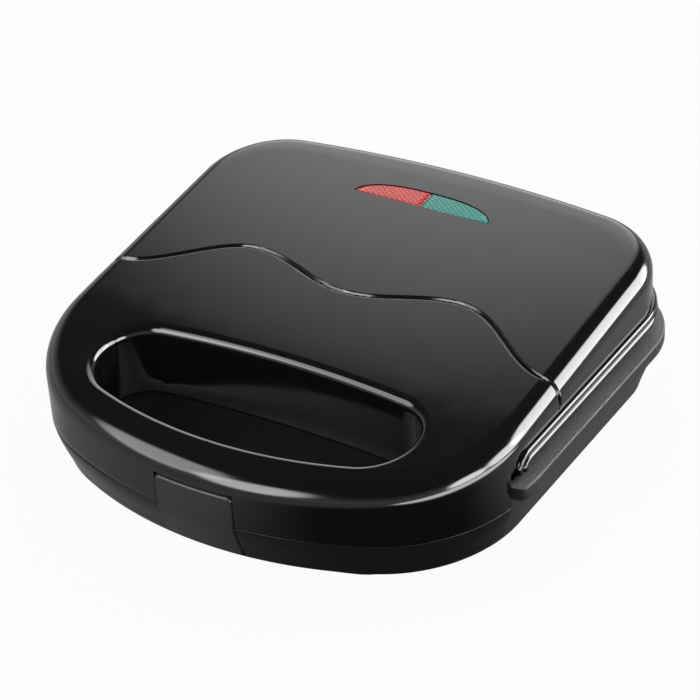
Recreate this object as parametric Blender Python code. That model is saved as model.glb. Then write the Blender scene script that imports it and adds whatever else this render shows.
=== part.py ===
# Countertop sandwich maker: hinged lid, fixed base, swinging front clip.
# Metres, +Z up, front toward -Y, the feet stand on z = 0, the middle is x = 0.
import math

import bmesh
import bpy
import numpy as np
from mathutils import Vector

for old_object in list(bpy.data.objects):
    bpy.data.objects.remove(old_object, do_unlink=True)

# Overall body, seen from above
wall_side = 0.1096
wall_front = -0.1095
wall_back = 0.1055
front_sag = 0.0092
front_corner = 0.0650
back_sag = 0.0035
back_corner = 0.0366

# Heights of the closed machine
foot_height = 0.009
base_floor_edge_rise = 0.0055
grip_parting_height = 0.0320
gap_middle_height = 0.04565
gap_height = 0.0043
lid_back_height = 0.0808
lid_slope_share = 0.100
lid_crown = 0.0020
nose_fall = 0.0016
nose_start = -0.030

# Walls, clearances and overruns
flat_share = 0.0001
weld_reach = 0.00001
shell_wall = 0.0025
web_wall = 0.0025
seat_gap = 0.0003
parting_gap = 0.0003
pin_clearance = 0.0002
overrun = 0.004

# Lid edge rounding: tight at the back, generous at the grip
back_round = 0.0085
grip_round = 0.0125
grip_round_start = -0.020

# Base wall, drawn in toward the floor
base_draft = 0.0052
base_belly_share = 0.42
base_floor_inset = 0.0135

# Where the grip's walls end and the side gap begins
step_line = -0.0475

# Double bead along the lid's lower edge
bead_reach = 0.0023
bead_height = 0.0064
bead_root = 0.0012
bead_curl_radius = 0.0019

# Flange along the base's upper edge
flange_side_reach = 0.0054
flange_back_reach = 0.0025
flange_height = 0.0060
flange_drop = 0.0014
flange_round = 0.0009
flange_root = 0.0015

# Hand slot through lid and base
grip_side = 0.0361
grip_front = 0.0175
slot_back = -0.0412
slot_front_sag = 0.00809
slot_front_corner = 0.0220
slot_back_sag = 0.00274
slot_back_corner = 0.0170
slot_wall = 0.0022
lip_width = 0.0052
lip_rise = 0.0013
base_slot_wall = 0.0048

# Wave groove over the lid
wave_valley = 0.0065
wave_hump = 0.0188
wave_end = -0.0085
wave_hump_side = 0.050
wave_side_inset = 0.0051
groove_radius = 0.0011
groove_side_drop = 0.0125

# Indicator lenses, two halves of one half-moon window
lens_half_length = 0.0330
lens_back_inset = 0.0343
lens_bulge = 0.0100
lens_tip = 0.0010
lens_proud = 0.0008
lens_flange = 0.0015
lens_flange_height = 0.0012

# Lamp holder and lamps under the lenses
holder_half_length = 0.027
holder_depth = 0.012
holder_height = 0.0075
holder_wall = 0.0016
lamp_radius = 0.0026
lamp_length = 0.019
lamp_tip = 0.0016

# Cooking plates
plate_slot_gap = 0.0006
plate_back_inset = 0.0077
plate_front_corner = 0.012
plate_back_corner = 0.028
plate_rim = 0.0022
base_stack_share = 0.55
plate_room_share = 0.543
plate_block_inset = 0.010
pocket_floor = 0.0022
pocket_inset = 0.0065
pocket_half_ridge = 0.0032
pocket_floor_inset = 0.0085
plate_boss_radius = 0.0045
plate_boss_share = 0.70

# Tubular heating elements
element_room_share = 0.168
element_side_inset = 0.0140
element_front_inset = 0.0220
element_back_inset = 0.0175
element_half_gap = 0.018
element_bend = 0.018

# Sheet reflectors
sheet = 0.0008
lid_reflector_drop = 0.0056
reflector_post_air = 0.0030
reflector_front_inset = 0.0178
lid_reflector_lens_gap = 0.0034
base_reflector_back_inset = 0.0115
reflector_corner = 0.014
reflector_rim_share = 1.3
reflector_post_radius = 0.0030
reflector_post_side_inset = 0.0220
reflector_post_inset = 0.0180
base_reflector_air = 0.0045

# Hinges
hinge_back_inset = 0.0007
channel_radius = 0.0065
knuckle_radius = 0.0052
hinge_pin_radius = 0.0020
hinge_side_inset = 0.0476
lid_knuckle_width = 0.012
base_knuckle_width = 0.008
knuckle_gap = 0.0003
hinge_arm_depth = 0.0048
lid_arm_rise = 0.011
base_arm_drop = 0.010

# Front clip, hung from a pin in the lid
clip_half_width = 0.0181
clip_side_gap = 0.0005
clip_proud = 0.0005
clip_thickness = 0.0026
clip_eye_radius = 0.0039
clip_top_round = 0.0016
clip_top_height = 0.0466
clip_foot_height = 0.0155
clip_pin_radius = 0.0012
clip_cheek = 0.0040
clip_cheek_depth = 0.0030
clip_cheek_drop = 0.0045
clip_cheek_rise = 0.0035
clip_nib = 0.0009
pocket_lean_share = 0.12
pocket_backing = 0.0022

# Feet, floor posts and screws
foot_radius = 0.0080
foot_top_radius = 0.0070
foot_stem_radius = 0.0023
foot_stem_height = 0.0028
foot_side_inset = 0.0356
foot_front_inset = 0.0168
foot_back_inset = 0.0270
post_side_inset = 0.0236
post_front_inset = 0.0178
post_back_inset = 0.0320
post_radius = 0.0050
screw_radius = 0.0016
screw_head_radius = 0.0034
screw_head_height = 0.0020
screw_head_depth = 0.0035

# Thermostat, thermal fuse, terminal block and the cord opening
thermostat_radius = 0.0100
thermostat_height = 0.0065
thermostat_back = 0.045
fuse_radius = 0.0022
fuse_length = 0.016
fuse_back = 0.066
terminal_half_length = 0.021
terminal_depth = 0.012
terminal_air = 0.0019
terminal_back = 0.078
terminal_bore = 0.0018
cord_opening_radius = 0.0048
cord_opening_height = 0.0255
cord_opening_side = 0.0
cord_collar_wall = 0.0022
cord_collar_depth = 0.0100

# Height of the lid's top: it slopes to the front, falls at the nose and is crowned
def lid_top(x, y):
    nose = np.clip((nose_start - y) / (nose_start - wall_front), 0, 1)
    crown = lid_crown * (x / wall_side) ** 2
    return lid_back_height - lid_slope_share * (wall_back - y) - nose_fall * nose ** 2 - crown


# Radius of a bow that falls by its sag where its corner starts
def bow_radius(side, corner, sag):
    reach = side - corner
    return corner + (reach ** 2 + sag ** 2) / (2 * sag)


# Places that follow the body's outline
slot_side = wall_side - grip_side
slot_front = wall_front + grip_front
front_bow = bow_radius(wall_side, front_corner, front_sag)
back_bow = bow_radius(wall_side, back_corner, back_sag)
slot_front_bow = bow_radius(slot_side, slot_front_corner, slot_front_sag)
slot_back_bow = bow_radius(slot_side, slot_back_corner, slot_back_sag)
wave_end_side = wall_side - wave_side_inset
lens_chord = wall_back - lens_back_inset
plate_side = wall_side - shell_wall - seat_gap
plate_front = slot_back + base_slot_wall + plate_slot_gap
plate_back = wall_back - plate_back_inset
post_side = wall_side - post_side_inset
post_front = plate_front + post_front_inset
post_back = wall_back - post_back_inset
foot_side = wall_side - foot_side_inset
foot_front = plate_front + foot_front_inset
foot_back = wall_back - foot_back_inset
reflector_side = post_side - post_radius - reflector_post_air
reflector_front = plate_front + reflector_front_inset
lid_reflector_back = lens_chord - lid_reflector_lens_gap
base_reflector_back = wall_back - base_reflector_back_inset
reflector_post_side = reflector_side - reflector_post_side_inset
element_half_width = reflector_side - element_side_inset
element_front = reflector_front + element_front_inset
element_back = wall_back - element_back_inset
hinge_back = wall_back - hinge_back_inset
hinge_side = wall_side - hinge_side_inset

# Levels that follow from the sizes above
floor_bottom = foot_height
floor_top = foot_height + shell_wall
base_edge = foot_height + base_floor_edge_rise
flange_top = gap_middle_height - gap_height / 2 - flange_drop
flange_bottom = flange_top - flange_height
bead_bottom = gap_middle_height + gap_height / 2
bead_top = bead_bottom + bead_height
grip_base_top = grip_parting_height - parting_gap / 2
grip_lid_bottom = grip_parting_height + parting_gap / 2
lid_plate_face = gap_middle_height + seat_gap / 2
base_plate_face = gap_middle_height - seat_gap / 2
clip_pivot_height = clip_top_height - clip_eye_radius
clip_front = wall_front - clip_proud
clip_pivot_front = clip_front + clip_eye_radius

# Plates, elements and reflectors share the room between the gap and the shells
lid_room = lid_top(plate_side, plate_front) - shell_wall - gap_middle_height
base_room = gap_middle_height - floor_top
stack_room = min(lid_room, base_room * base_stack_share)
plate_height = stack_room * plate_room_share
pocket_depth = plate_height - pocket_floor
plate_boss_height = plate_height * plate_boss_share
element_radius = stack_room * element_room_share
reflector_rim = element_radius * reflector_rim_share
base_element_bottom = base_plate_face - plate_height - seat_gap - 2 * element_radius
base_reflector_height = base_element_bottom - base_reflector_air
terminal_bottom = floor_top + seat_gap
terminal_top = base_reflector_height - sheet - terminal_air

body_plan = dict(
    side=wall_side, front=wall_front, back=wall_back,
    front_bow=front_bow, front_corner=front_corner,
    back_bow=back_bow, back_corner=back_corner,
)
flange_plan = dict(
    side=wall_side + flange_side_reach, front=wall_front - flange_side_reach,
    back=wall_back + flange_back_reach,
    front_bow=front_bow + flange_side_reach, front_corner=front_corner + flange_side_reach,
    back_bow=back_bow + flange_back_reach, back_corner=back_corner + flange_back_reach,
)
slot_plan = dict(
    side=slot_side, front=slot_front, back=slot_back,
    front_bow=slot_front_bow, front_corner=slot_front_corner,
    back_bow=slot_back_bow, back_corner=slot_back_corner,
)
slot_steps = (5, 7, 1, 6, 4)
plate_plan = dict(
    side=plate_side, front=plate_front, back=plate_back,
    front_bow=back_bow, front_corner=plate_front_corner,
    back_bow=back_bow, back_corner=plate_back_corner,
)


def reflector_plan(back):
    return dict(
        side=reflector_side, front=reflector_front, back=back,
        front_bow=back_bow, front_corner=reflector_corner,
        back_bow=back_bow, back_corner=reflector_corner,
    )


# Colours, roughness and metallic value of each material
finishes = dict(
    gloss_black=((0.012, 0.012, 0.013), 0.12, 0.0),
    spark_black=((0.020, 0.020, 0.021), 0.55, 0.0),
    clip_grey=((0.030, 0.030, 0.032), 0.42, 0.0),
    red_lens=((0.55, 0.03, 0.03), 0.25, 0.0),
    green_lens=((0.02, 0.30, 0.22), 0.25, 0.0),
    plate_coating=((0.025, 0.024, 0.024), 0.38, 0.3),
    element_steel=((0.32, 0.30, 0.27), 0.45, 1.0),
    sheet_steel=((0.62, 0.62, 0.61), 0.30, 1.0),
    pin_steel=((0.60, 0.60, 0.60), 0.28, 1.0),
    foot_rubber=((0.025, 0.025, 0.025), 0.85, 0.0),
    holder_white=((0.80, 0.79, 0.75), 0.50, 0.0),
    lamp_glass=((0.80, 0.75, 0.68), 0.08, 0.0),
    ceramic_white=((0.85, 0.84, 0.80), 0.60, 0.0),
)
materials = {}
for finish_name, (colour, roughness, metallic) in finishes.items():
    material = bpy.data.materials.new(finish_name)
    material.use_nodes = True
    shader = material.node_tree.nodes["Principled BSDF"]
    shader.inputs["Base Color"].default_value = (*colour, 1.0)
    shader.inputs["Roughness"].default_value = roughness
    shader.inputs["Metallic"].default_value = metallic
    materials[finish_name] = material


# An outline of tangent arcs, counter-clockwise, the same on both sides of x = 0
def outline(plan, grow=0.0, steps=(8, 8, 2, 7, 3)):
    side = plan["side"] + grow
    front = plan["front"] - grow
    back = plan["back"] + grow
    front_bow_radius = plan["front_bow"] + grow
    front_corner_radius = plan["front_corner"] + grow
    back_bow_radius = plan["back_bow"] + grow
    back_corner_radius = plan["back_corner"] + grow
    front_side = side - front_corner_radius
    back_side = side - back_corner_radius
    front_drop = math.sqrt((front_bow_radius - front_corner_radius) ** 2 - front_side ** 2)
    back_drop = math.sqrt((back_bow_radius - back_corner_radius) ** 2 - back_side ** 2)
    front_middle = front + front_bow_radius
    back_middle = back - back_bow_radius
    front_turn = math.atan2(-front_drop, front_side)
    back_turn = math.atan2(back_drop, back_side)
    runs = (
        (0.0, front_middle, front_bow_radius, -math.pi / 2, front_turn, steps[0]),
        (front_side, front_middle - front_drop, front_corner_radius, front_turn, 0.0, steps[1]),
        (back_side, back_middle + back_drop, back_corner_radius, 0.0, back_turn, steps[3]),
        (0.0, back_middle, back_bow_radius, back_turn, math.pi / 2, steps[4]),
    )
    right = []
    for index, (middle_x, middle_y, radius, start, end, count) in enumerate(runs):
        angles = np.linspace(start, end, count, endpoint=False)
        if index == 1:
            angles = np.linspace(start, end, count)
        arc = np.stack([middle_x + radius * np.cos(angles), middle_y + radius * np.sin(angles)], 1)
        right.append(arc)
        if index == 1:
            share = np.linspace(0, 1, steps[2] + 2)[1:-1, None]
            next_start = np.array([side, back_middle + back_drop])
            right.append(arc[-1] * (1 - share) + next_start * share)
    right.append(np.array([[0.0, back]]))
    right = np.vstack(right)
    right[0, 0] = 0.0
    left = right[-2:0:-1] * np.array([-1, 1])
    return np.vstack([right, left])


# Unit vectors square to an outline, facing out
def outward(points):
    along = np.roll(points, -1, 0) - np.roll(points, 1, 0)
    normals = np.stack([along[:, 1], -along[:, 0]], 1)
    return normals / np.linalg.norm(normals, axis=1)[:, None]


def at_height(points, height):
    heights = np.broadcast_to(height, (len(points),))
    return np.column_stack([points, heights])


def lid_edge_round(y):
    share = np.clip((grip_round_start - y) / (grip_round_start - wall_front), 0, 1)
    return back_round + (grip_round - back_round) * share ** 1.5


def new_object(name, mesh_edit, finish=None):
    mesh_edit.normal_update()
    bmesh.ops.recalc_face_normals(mesh_edit, faces=mesh_edit.faces)
    mesh = bpy.data.meshes.new(name)
    mesh_edit.to_mesh(mesh)
    mesh_edit.free()
    made = bpy.data.objects.new(name, mesh)
    bpy.context.scene.collection.objects.link(made)
    if finish:
        mesh.materials.append(materials[finish])
    return made


# A four-cornered patch counts as flat when its corners lie in one plane
def is_flat(four):
    one, two, three, last = (corner.co for corner in four)
    normal = (two - one).cross(three - one)
    reach = (last - one).length
    return normal.length > 0 and abs(normal.normalized().dot(last - one)) < flat_share * reach


# Skin through a stack of rings; round_trip closes the last ring onto the first
def loft(name, rings, round_trip=False, finish=None, domed=False):
    mesh_edit = bmesh.new()
    layers = [[mesh_edit.verts.new(point) for point in ring] for ring in rings]
    count = len(layers[0])
    pairs = list(zip(layers, layers[1:]))
    if round_trip:
        pairs.append((layers[-1], layers[0]))
    for lower, upper in pairs:
        for index in range(count):
            after = (index + 1) % count
            four = (lower[index], lower[after], upper[after], upper[index])
            if is_flat(four):
                mesh_edit.faces.new(four)
            else:
                mesh_edit.faces.new((four[0], four[1], four[2]))
                mesh_edit.faces.new((four[0], four[2], four[3]))
    if not round_trip:
        mesh_edit.faces.new(layers[0][::-1])
        if domed:
            middle = mesh_edit.verts.new(np.mean(rings[-1], axis=0))
            for index in range(count):
                mesh_edit.faces.new((layers[-1][index], layers[-1][(index + 1) % count], middle))
        else:
            mesh_edit.faces.new(layers[-1])
    return new_object(name, mesh_edit, finish)


def prism(name, points, bottom, top, finish=None):
    return loft(name, [at_height(points, bottom), at_height(points, top)], finish=finish)


def block(name, x_range, y_range, z_range, finish=None):
    corners = np.array([
        (x_range[0], y_range[0]), (x_range[1], y_range[0]),
        (x_range[1], y_range[1]), (x_range[0], y_range[1]),
    ])
    return prism(name, corners, z_range[0], z_range[1], finish)


# Turned piece about an upright axis: (radius, height) pairs from the bottom up
def turned(name, profile, x, y, sides, finish=None):
    angles = np.arange(sides) * 2 * math.pi / sides
    ring = np.stack([np.cos(angles), np.sin(angles)], 1)
    rings = [at_height(ring * radius + np.array([x, y]), height) for radius, height in profile]
    return loft(name, rings, finish=finish)


# Round bar along X
def cross_rod(name, radius, x_range, y, z, sides, finish=None, taper=0.0):
    angles = np.arange(sides) * 2 * math.pi / sides
    circle = np.stack([np.zeros(sides), np.cos(angles), np.sin(angles)], 1)
    stations = [(x_range[0], radius), (x_range[1], radius)]
    if taper:
        stations = [
            (x_range[0], radius - taper), (x_range[0] + taper, radius),
            (x_range[1] - taper, radius), (x_range[1], radius - taper),
        ]
    rings = [circle * reach + np.array([station, y, z]) for station, reach in stations]
    return loft(name, rings, finish=finish)


# Boolean of two solids; the second one is used up
def combine(target, other, operation):
    modifier = target.modifiers.new(operation.lower(), "BOOLEAN")
    modifier.solver = "EXACT"
    modifier.operation = operation
    modifier.object = other
    bpy.context.view_layer.update()
    evaluated = target.evaluated_get(bpy.context.evaluated_depsgraph_get())
    result = bpy.data.meshes.new_from_object(evaluated)
    target.modifiers.remove(modifier)
    old_mesh = target.data
    target.data = result
    result.name = target.name
    bpy.data.meshes.remove(old_mesh)
    other_mesh = other.data
    bpy.data.objects.remove(other, do_unlink=True)
    bpy.data.meshes.remove(other_mesh)
    return target


def cut(target, *others):
    for other in others:
        combine(target, other, "DIFFERENCE")
    return target


def join(target, *others):
    for other in others:
        combine(target, other, "UNION")
    return target


# Weld what the cuts left a hair apart, then shade smooth up to an angle
def smooth(made, angle=math.radians(32)):
    mesh_edit = bmesh.new()
    mesh_edit.from_mesh(made.data)
    bmesh.ops.remove_doubles(mesh_edit, verts=mesh_edit.verts, dist=weld_reach)
    mesh_edit.to_mesh(made.data)
    mesh_edit.free()
    made.data.shade_smooth()
    made.data.set_sharp_from_angle(angle=angle)
    return made


# Rings of the lid's skin, grown outward or inward by one amount
def lid_rings(grow, bottom, top_shift):
    plan = outline(body_plan)
    facing = outward(plan)
    y = plan[:, 1]
    edge_round = lid_edge_round(y) + grow
    rim = plan - facing * lid_edge_round(y)[:, None]
    rim_height = lid_top(rim[:, 0], rim[:, 1]) + top_shift
    rings = [at_height(plan + facing * grow, bottom)]
    for turn_share in (0.0, 0.25, 0.5, 0.75, 1.0):
        turn = turn_share * math.pi / 2
        spread = plan + facing * (grow - edge_round * (1 - math.cos(turn)))[:, None]
        rings.append(at_height(spread, rim_height - edge_round * (1 - math.sin(turn))))
    middle = np.array([0.0, (wall_front + wall_back) / 2])
    for share in (0.82, 0.55, 0.25):
        spread = middle + (rim - middle) * share
        rings.append(at_height(spread, lid_top(spread[:, 0], spread[:, 1]) + top_shift))
    return rings


# Centre line of the wave groove from the valley at x = 0 to the lid's side
def wave_line(side):
    reach = np.abs(side)
    inner = wave_valley + (wave_hump - wave_valley) * (1 - np.cos(np.pi * reach / wave_hump_side)) / 2
    run = np.clip((reach - wave_hump_side) / (wave_end_side - wave_hump_side), 0, 1)
    outer = wave_hump + (wave_end - wave_hump) * (1 - np.cos(np.pi * run)) / 2
    return np.where(reach < wave_hump_side, inner, outer)


# Path of the groove over the lid and down both side walls
def groove_path():
    edge_round = lid_edge_round(wave_end)
    rim_side = wall_side - edge_round
    rim_height = lid_top(rim_side, wave_end)
    top_x = np.linspace(0, rim_side, 17)
    top_y = wave_line(top_x)
    points = [(x, y, lid_top(x, y)) for x, y in zip(top_x, top_y)]
    for turn_share in (0.3, 0.6, 1.0):
        turn = turn_share * math.pi / 2
        points.append((rim_side + edge_round * math.sin(turn), wave_end,
                       rim_height - edge_round * (1 - math.cos(turn))))
    points.append((wall_side, wave_end, rim_height - groove_side_drop))
    right = np.array(points)
    left = right[:0:-1] * np.array([-1, 1, 1])
    return np.vstack([left, right])


# Tube of one radius along a path, its ring kept square to the path
def tube(name, path, radius, sides):
    along = np.gradient(path, axis=0)
    along /= np.linalg.norm(along, axis=1)[:, None]
    across = np.cross(along, np.array([0.0, 1.0, 0.0]))
    across /= np.linalg.norm(across, axis=1)[:, None]
    lift = np.cross(across, along)
    rings = []
    for place, first, second in zip(path, across, lift):
        turns = (np.arange(sides) + 0.5) * 2 * math.pi / sides
        rings.append(place + radius * (np.cos(turns)[:, None] * first + np.sin(turns)[:, None] * second))
    return loft(name, rings)


# Ring-shaped solid whose section is given as (share toward the outer plan, height)
def swept_band(name, inner_plan, outer_plan, section):
    rings = []
    for share, height in section:
        rings.append(at_height(inner_plan + (outer_plan - inner_plan) * share, height))
    return loft(name, rings, round_trip=True)


# Both halves of the hinge: a knuckle round the axis and an arm into the shell
def knuckle(name, x_range, arm_range):
    made = cross_rod(name, knuckle_radius, x_range, hinge_back, gap_middle_height, 20)
    arm_y = (hinge_back - hinge_arm_depth, hinge_back + hinge_pin_radius / 2)
    return join(made, block(name + "_arm", x_range, arm_y, arm_range))


def hinge_stations():
    half_lid = lid_knuckle_width / 2
    outer_start = half_lid + knuckle_gap
    outer_end = outer_start + base_knuckle_width
    lid_ranges = [(side - half_lid, side + half_lid) for side in (-hinge_side, hinge_side)]
    base_ranges = []
    for side in (-hinge_side, hinge_side):
        base_ranges.append((side - outer_end, side - outer_start))
        base_ranges.append((side + outer_start, side + outer_end))
    return lid_ranges, base_ranges


def hinge_channel(name):
    reach = wall_side + flange_side_reach + overrun
    return cross_rod(name, channel_radius, (-reach, reach), hinge_back, gap_middle_height, 24)


def pin_bore(name):
    reach = hinge_side + lid_knuckle_width + base_knuckle_width + overrun
    bore_radius = hinge_pin_radius + pin_clearance
    return cross_rod(name, bore_radius, (-reach, reach), hinge_back, gap_middle_height, 12)


# Half-moon window outline, one half of it from x = 0 to the right
def half_moon(grow, count=9):
    bow = (lens_half_length ** 2 + lens_bulge ** 2) / (2 * lens_bulge)
    middle_y = lens_chord + lens_bulge - bow
    bow += grow
    chord = lens_chord - grow
    tip_angle = math.asin((chord + lens_tip - middle_y) / bow)
    angles = np.linspace(math.pi / 2, tip_angle, count)
    arc = np.stack([bow * np.cos(angles), middle_y + bow * np.sin(angles)], 1)
    tip = np.array([[arc[-1, 0] - lens_tip, chord]])
    return np.vstack([arc, tip, np.array([[0.0, chord]])])[::-1]


def half_lens(name, sign, finish):
    window = half_moon(0.0)
    window[:, 0] = np.maximum(window[:, 0], seat_gap / 2)
    under = half_moon(lens_flange)
    under[:, 0] = np.maximum(under[:, 0], seat_gap / 2)
    roof = lid_top(window[:, 0], window[:, 1])
    shelf = roof - shell_wall - seat_gap
    rings = [
        at_height(under, shelf - lens_flange_height), at_height(under, shelf),
        at_height(window, shelf), at_height(window, roof + lens_proud),
    ]
    if sign < 0:
        rings = [ring[::-1] * np.array([-1, 1, 1]) for ring in rings]
    return loft(name, rings, finish=finish)


def lens_window(name):
    right = half_moon(seat_gap)
    left = right[::-1] * np.array([-1, 1])
    whole = np.vstack([right[1:], left[1:-1]])
    bottom = lid_top(0, lens_chord) - shell_wall - overrun
    return prism(name, whole, bottom, lid_back_height + overrun)


# Clip section in (y, z), before it is bowed to follow the grip's front
def clip_section():
    pivot = np.array([clip_pivot_front, clip_pivot_height])
    top_centre = np.array([clip_front + clip_top_round, clip_top_height - clip_top_round])
    front_turns = np.linspace(math.pi, math.pi / 2, 5)
    eye_turns = np.linspace(math.pi / 2, -math.pi / 2, 9)
    top_arc = top_centre + clip_top_round * np.stack([np.cos(front_turns), np.sin(front_turns)], 1)
    eye_arc = pivot + clip_eye_radius * np.stack([np.cos(eye_turns), np.sin(eye_turns)], 1)
    drop_share = np.linspace(0, 1, 6)
    foot_drop = grip_parting_height - clip_foot_height
    lean = base_draft * foot_drop / (grip_parting_height - base_edge)
    front = np.stack([clip_front + lean * drop_share ** 1.4,
                      grip_parting_height - foot_drop * drop_share], 1)
    back = front + np.array([clip_thickness, 0.0])
    nib_height = clip_foot_height + clip_thickness
    nib = np.array([(back[-1, 0] + clip_nib, clip_foot_height + clip_nib),
                    (back[-1, 0] + clip_nib / 2, nib_height)])
    behind = np.array([(clip_front + clip_thickness, clip_pivot_height - clip_eye_radius - clip_nib)])
    return np.vstack([top_arc, eye_arc, behind, back[:-1], nib[::-1], front[::-1]])


def clip_bow(x):
    return x ** 2 / (2 * front_bow)


def build_clip():
    section = clip_section()
    rings = []
    for share in np.linspace(-1, 1, 7):
        x = share * clip_half_width
        rings.append(np.column_stack([np.full(len(section), x), section[:, 0] + clip_bow(x), section[:, 1]]))
    made = loft("latch_clip", rings, finish="clip_grey")
    reach = clip_half_width + overrun
    bore = cross_rod("clip_bore", clip_pin_radius + pin_clearance, (-reach, reach),
                     clip_pivot_front, clip_pivot_height, 12)
    return smooth(cut(made, bore))


def build_clip_pin():
    reach = clip_half_width + clip_side_gap + clip_cheek - seat_gap
    return smooth(cross_rod("latch_pin", clip_pin_radius, (-reach, reach),
                            clip_pivot_front, clip_pivot_height, 12, "pin_steel"))


# Opening in the lid's front wall and cheeks that carry the clip's pin
def add_clip_seat(lid):
    half_opening = clip_half_width + clip_side_gap
    outer = half_opening + clip_cheek
    cheek_y = (wall_front + shell_wall / 2 + clip_bow(outer), clip_pivot_front + clip_cheek_depth)
    cheek_z = (clip_pivot_height - clip_cheek_drop, clip_pivot_height + clip_cheek_rise)
    join(lid, block("cheek_left", (-outer, -half_opening), cheek_y, cheek_z),
         block("cheek_right", (half_opening, outer), cheek_y, cheek_z))
    opening_z = (grip_lid_bottom - overrun, clip_top_height + clip_side_gap)
    opening_y = (clip_front - overrun, clip_pivot_front + clip_eye_radius + overrun)
    opening = block("clip_opening", (-half_opening, half_opening), opening_y, opening_z)
    swing = (clip_eye_radius - clip_top_round) * math.sqrt(2) + clip_top_round
    eye = cross_rod("clip_eye", swing + clip_side_gap, (-half_opening, half_opening),
                    clip_pivot_front, clip_pivot_height, 24)
    reach = half_opening + clip_cheek - seat_gap / 2
    bore = cross_rod("pin_hole", clip_pin_radius + pin_clearance, (-reach, reach),
                     clip_pivot_front, clip_pivot_height, 12)
    return cut(lid, opening, eye, bore)


# Pocket in the base's front: its floor leans out only as far as the clip swings up
def add_clip_pocket(base):
    half_opening = clip_half_width + clip_side_gap
    low = clip_foot_height - 2 * clip_side_gap
    high = grip_base_top + overrun
    foot = clip_section()[-6:]
    deepest = foot[0, 0] + clip_thickness + clip_nib + clip_side_gap + clip_bow(clip_half_width)
    deepest += pocket_lean_share * clip_thickness
    floor_high = deepest - pocket_lean_share * (high - low)
    backing_side = half_opening + pocket_backing
    backing = block("pocket_backing", (-backing_side, backing_side),
                    (wall_front, deepest + pocket_backing), (floor_bottom, grip_base_top))
    skin = loft("skin", base_rings(-shell_wall / 2, floor_bottom + shell_wall / 2, grip_base_top + overrun))
    join(base, combine(backing, skin, "INTERSECT"))
    front = clip_front - overrun
    corners = [(front, low), (deepest, low), (floor_high, high), (front, high)]
    rings = [np.array([(x, y, z) for y, z in corners]) for x in (-half_opening, half_opening)]
    return cut(base, loft("clip_pocket", rings))


def build_upper_shell():
    rough_bottom = grip_lid_bottom - overrun
    lid = loft("upper_shell", lid_rings(0.0, rough_bottom, 0.0), domed=True, finish="gloss_black")
    inside = loft("inside", lid_rings(-shell_wall, rough_bottom - overrun, -shell_wall), domed=True)
    reach = wall_side + flange_side_reach + overrun
    web = block("web", (-reach, reach), (step_line - web_wall, step_line),
                (rough_bottom - 2 * overrun, lid_back_height))
    cut(inside, web)
    cut(lid, inside)
    far_back = wall_back + flange_back_reach + overrun
    below = block("below_gap", (-reach, reach), (step_line, far_back),
                  (rough_bottom - overrun, bead_bottom))
    cut(lid, below)
    add_bead(lid)
    add_slot_lip(lid)
    cut(lid, block("trim", (-reach, reach), (2 * wall_front, far_back), (0.0, grip_lid_bottom)))
    cut(lid, hinge_channel("channel"))
    lid_ranges, _ = hinge_stations()
    for index, x_range in enumerate(lid_ranges):
        join(lid, knuckle(f"lid_knuckle_{index}", x_range,
                          (gap_middle_height, gap_middle_height + lid_arm_rise)))
    cut(lid, pin_bore("lid_bore"))
    cut(lid, lens_window("window"))
    cut(lid, tube("groove", groove_path(), groove_radius, 6))
    add_clip_seat(lid)
    add_reflector_studs(lid)
    return smooth(lid)


def reflector_post_places(back):
    rows = (reflector_front + reflector_post_inset, back - reflector_post_inset)
    return [(sign * reflector_post_side, y) for y in rows for sign in (-1, 1)]


# Studs under the lid's roof that the upper reflector seats against
def add_reflector_studs(lid):
    for x, y in reflector_post_places(lid_reflector_back):
        far = y + reflector_post_radius
        low = lid_top(x, far) - lid_reflector_drop + sheet + seat_gap
        high = lid_top(x, y) - shell_wall / 2
        join(lid, turned("stud", ((reflector_post_radius, low), (reflector_post_radius, high)), x, y, 10))


# Posts on the base's floor under the lower reflector
def add_reflector_posts(base):
    top = base_reflector_height - sheet - seat_gap
    for x, y in reflector_post_places(base_reflector_back):
        join(base, turned("rest", ((reflector_post_radius, floor_bottom + shell_wall / 2),
                                   (reflector_post_radius, top)), x, y, 10))


# Double bead along the lid's side and back edge, curled down at the step
def add_bead(lid):
    inner = outline(body_plan, -bead_root)
    outer = outline(body_plan, bead_reach)
    low, high = bead_bottom, bead_top
    height = high - low
    section_share = ((0.0, 0.0), (0.85, 0.0), (1.0, 0.10), (1.0, 0.32), (0.55, 0.46),
                     (0.84, 0.60), (0.84, 0.82), (0.66, 0.95), (0.30, 1.0), (0.0, 1.0))
    section = [(share, low + height * rise) for share, rise in section_share]
    band = swept_band("bead", inner, outer, section)
    reach = wall_side + flange_side_reach + overrun
    cut(band, block("bead_front", (-reach, reach), (wall_front * 2, step_line - bead_curl_radius),
                    (0.0, lid_back_height)))
    plan = outline(body_plan)
    near = plan[np.argmin(np.abs(plan[:, 1] - step_line) + (plan[:, 0] < 0) * wall_side)]
    for sign in (-1, 1):
        join(band, turned("curl", ((bead_curl_radius / 2, gap_middle_height),
                                   (bead_curl_radius, gap_middle_height + bead_curl_radius / 2),
                                   (bead_curl_radius, low + height / 2)),
                          sign * (near[0] + bead_reach / 7), step_line - bead_curl_radius * 1.1, 12))
    join(lid, band)


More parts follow.
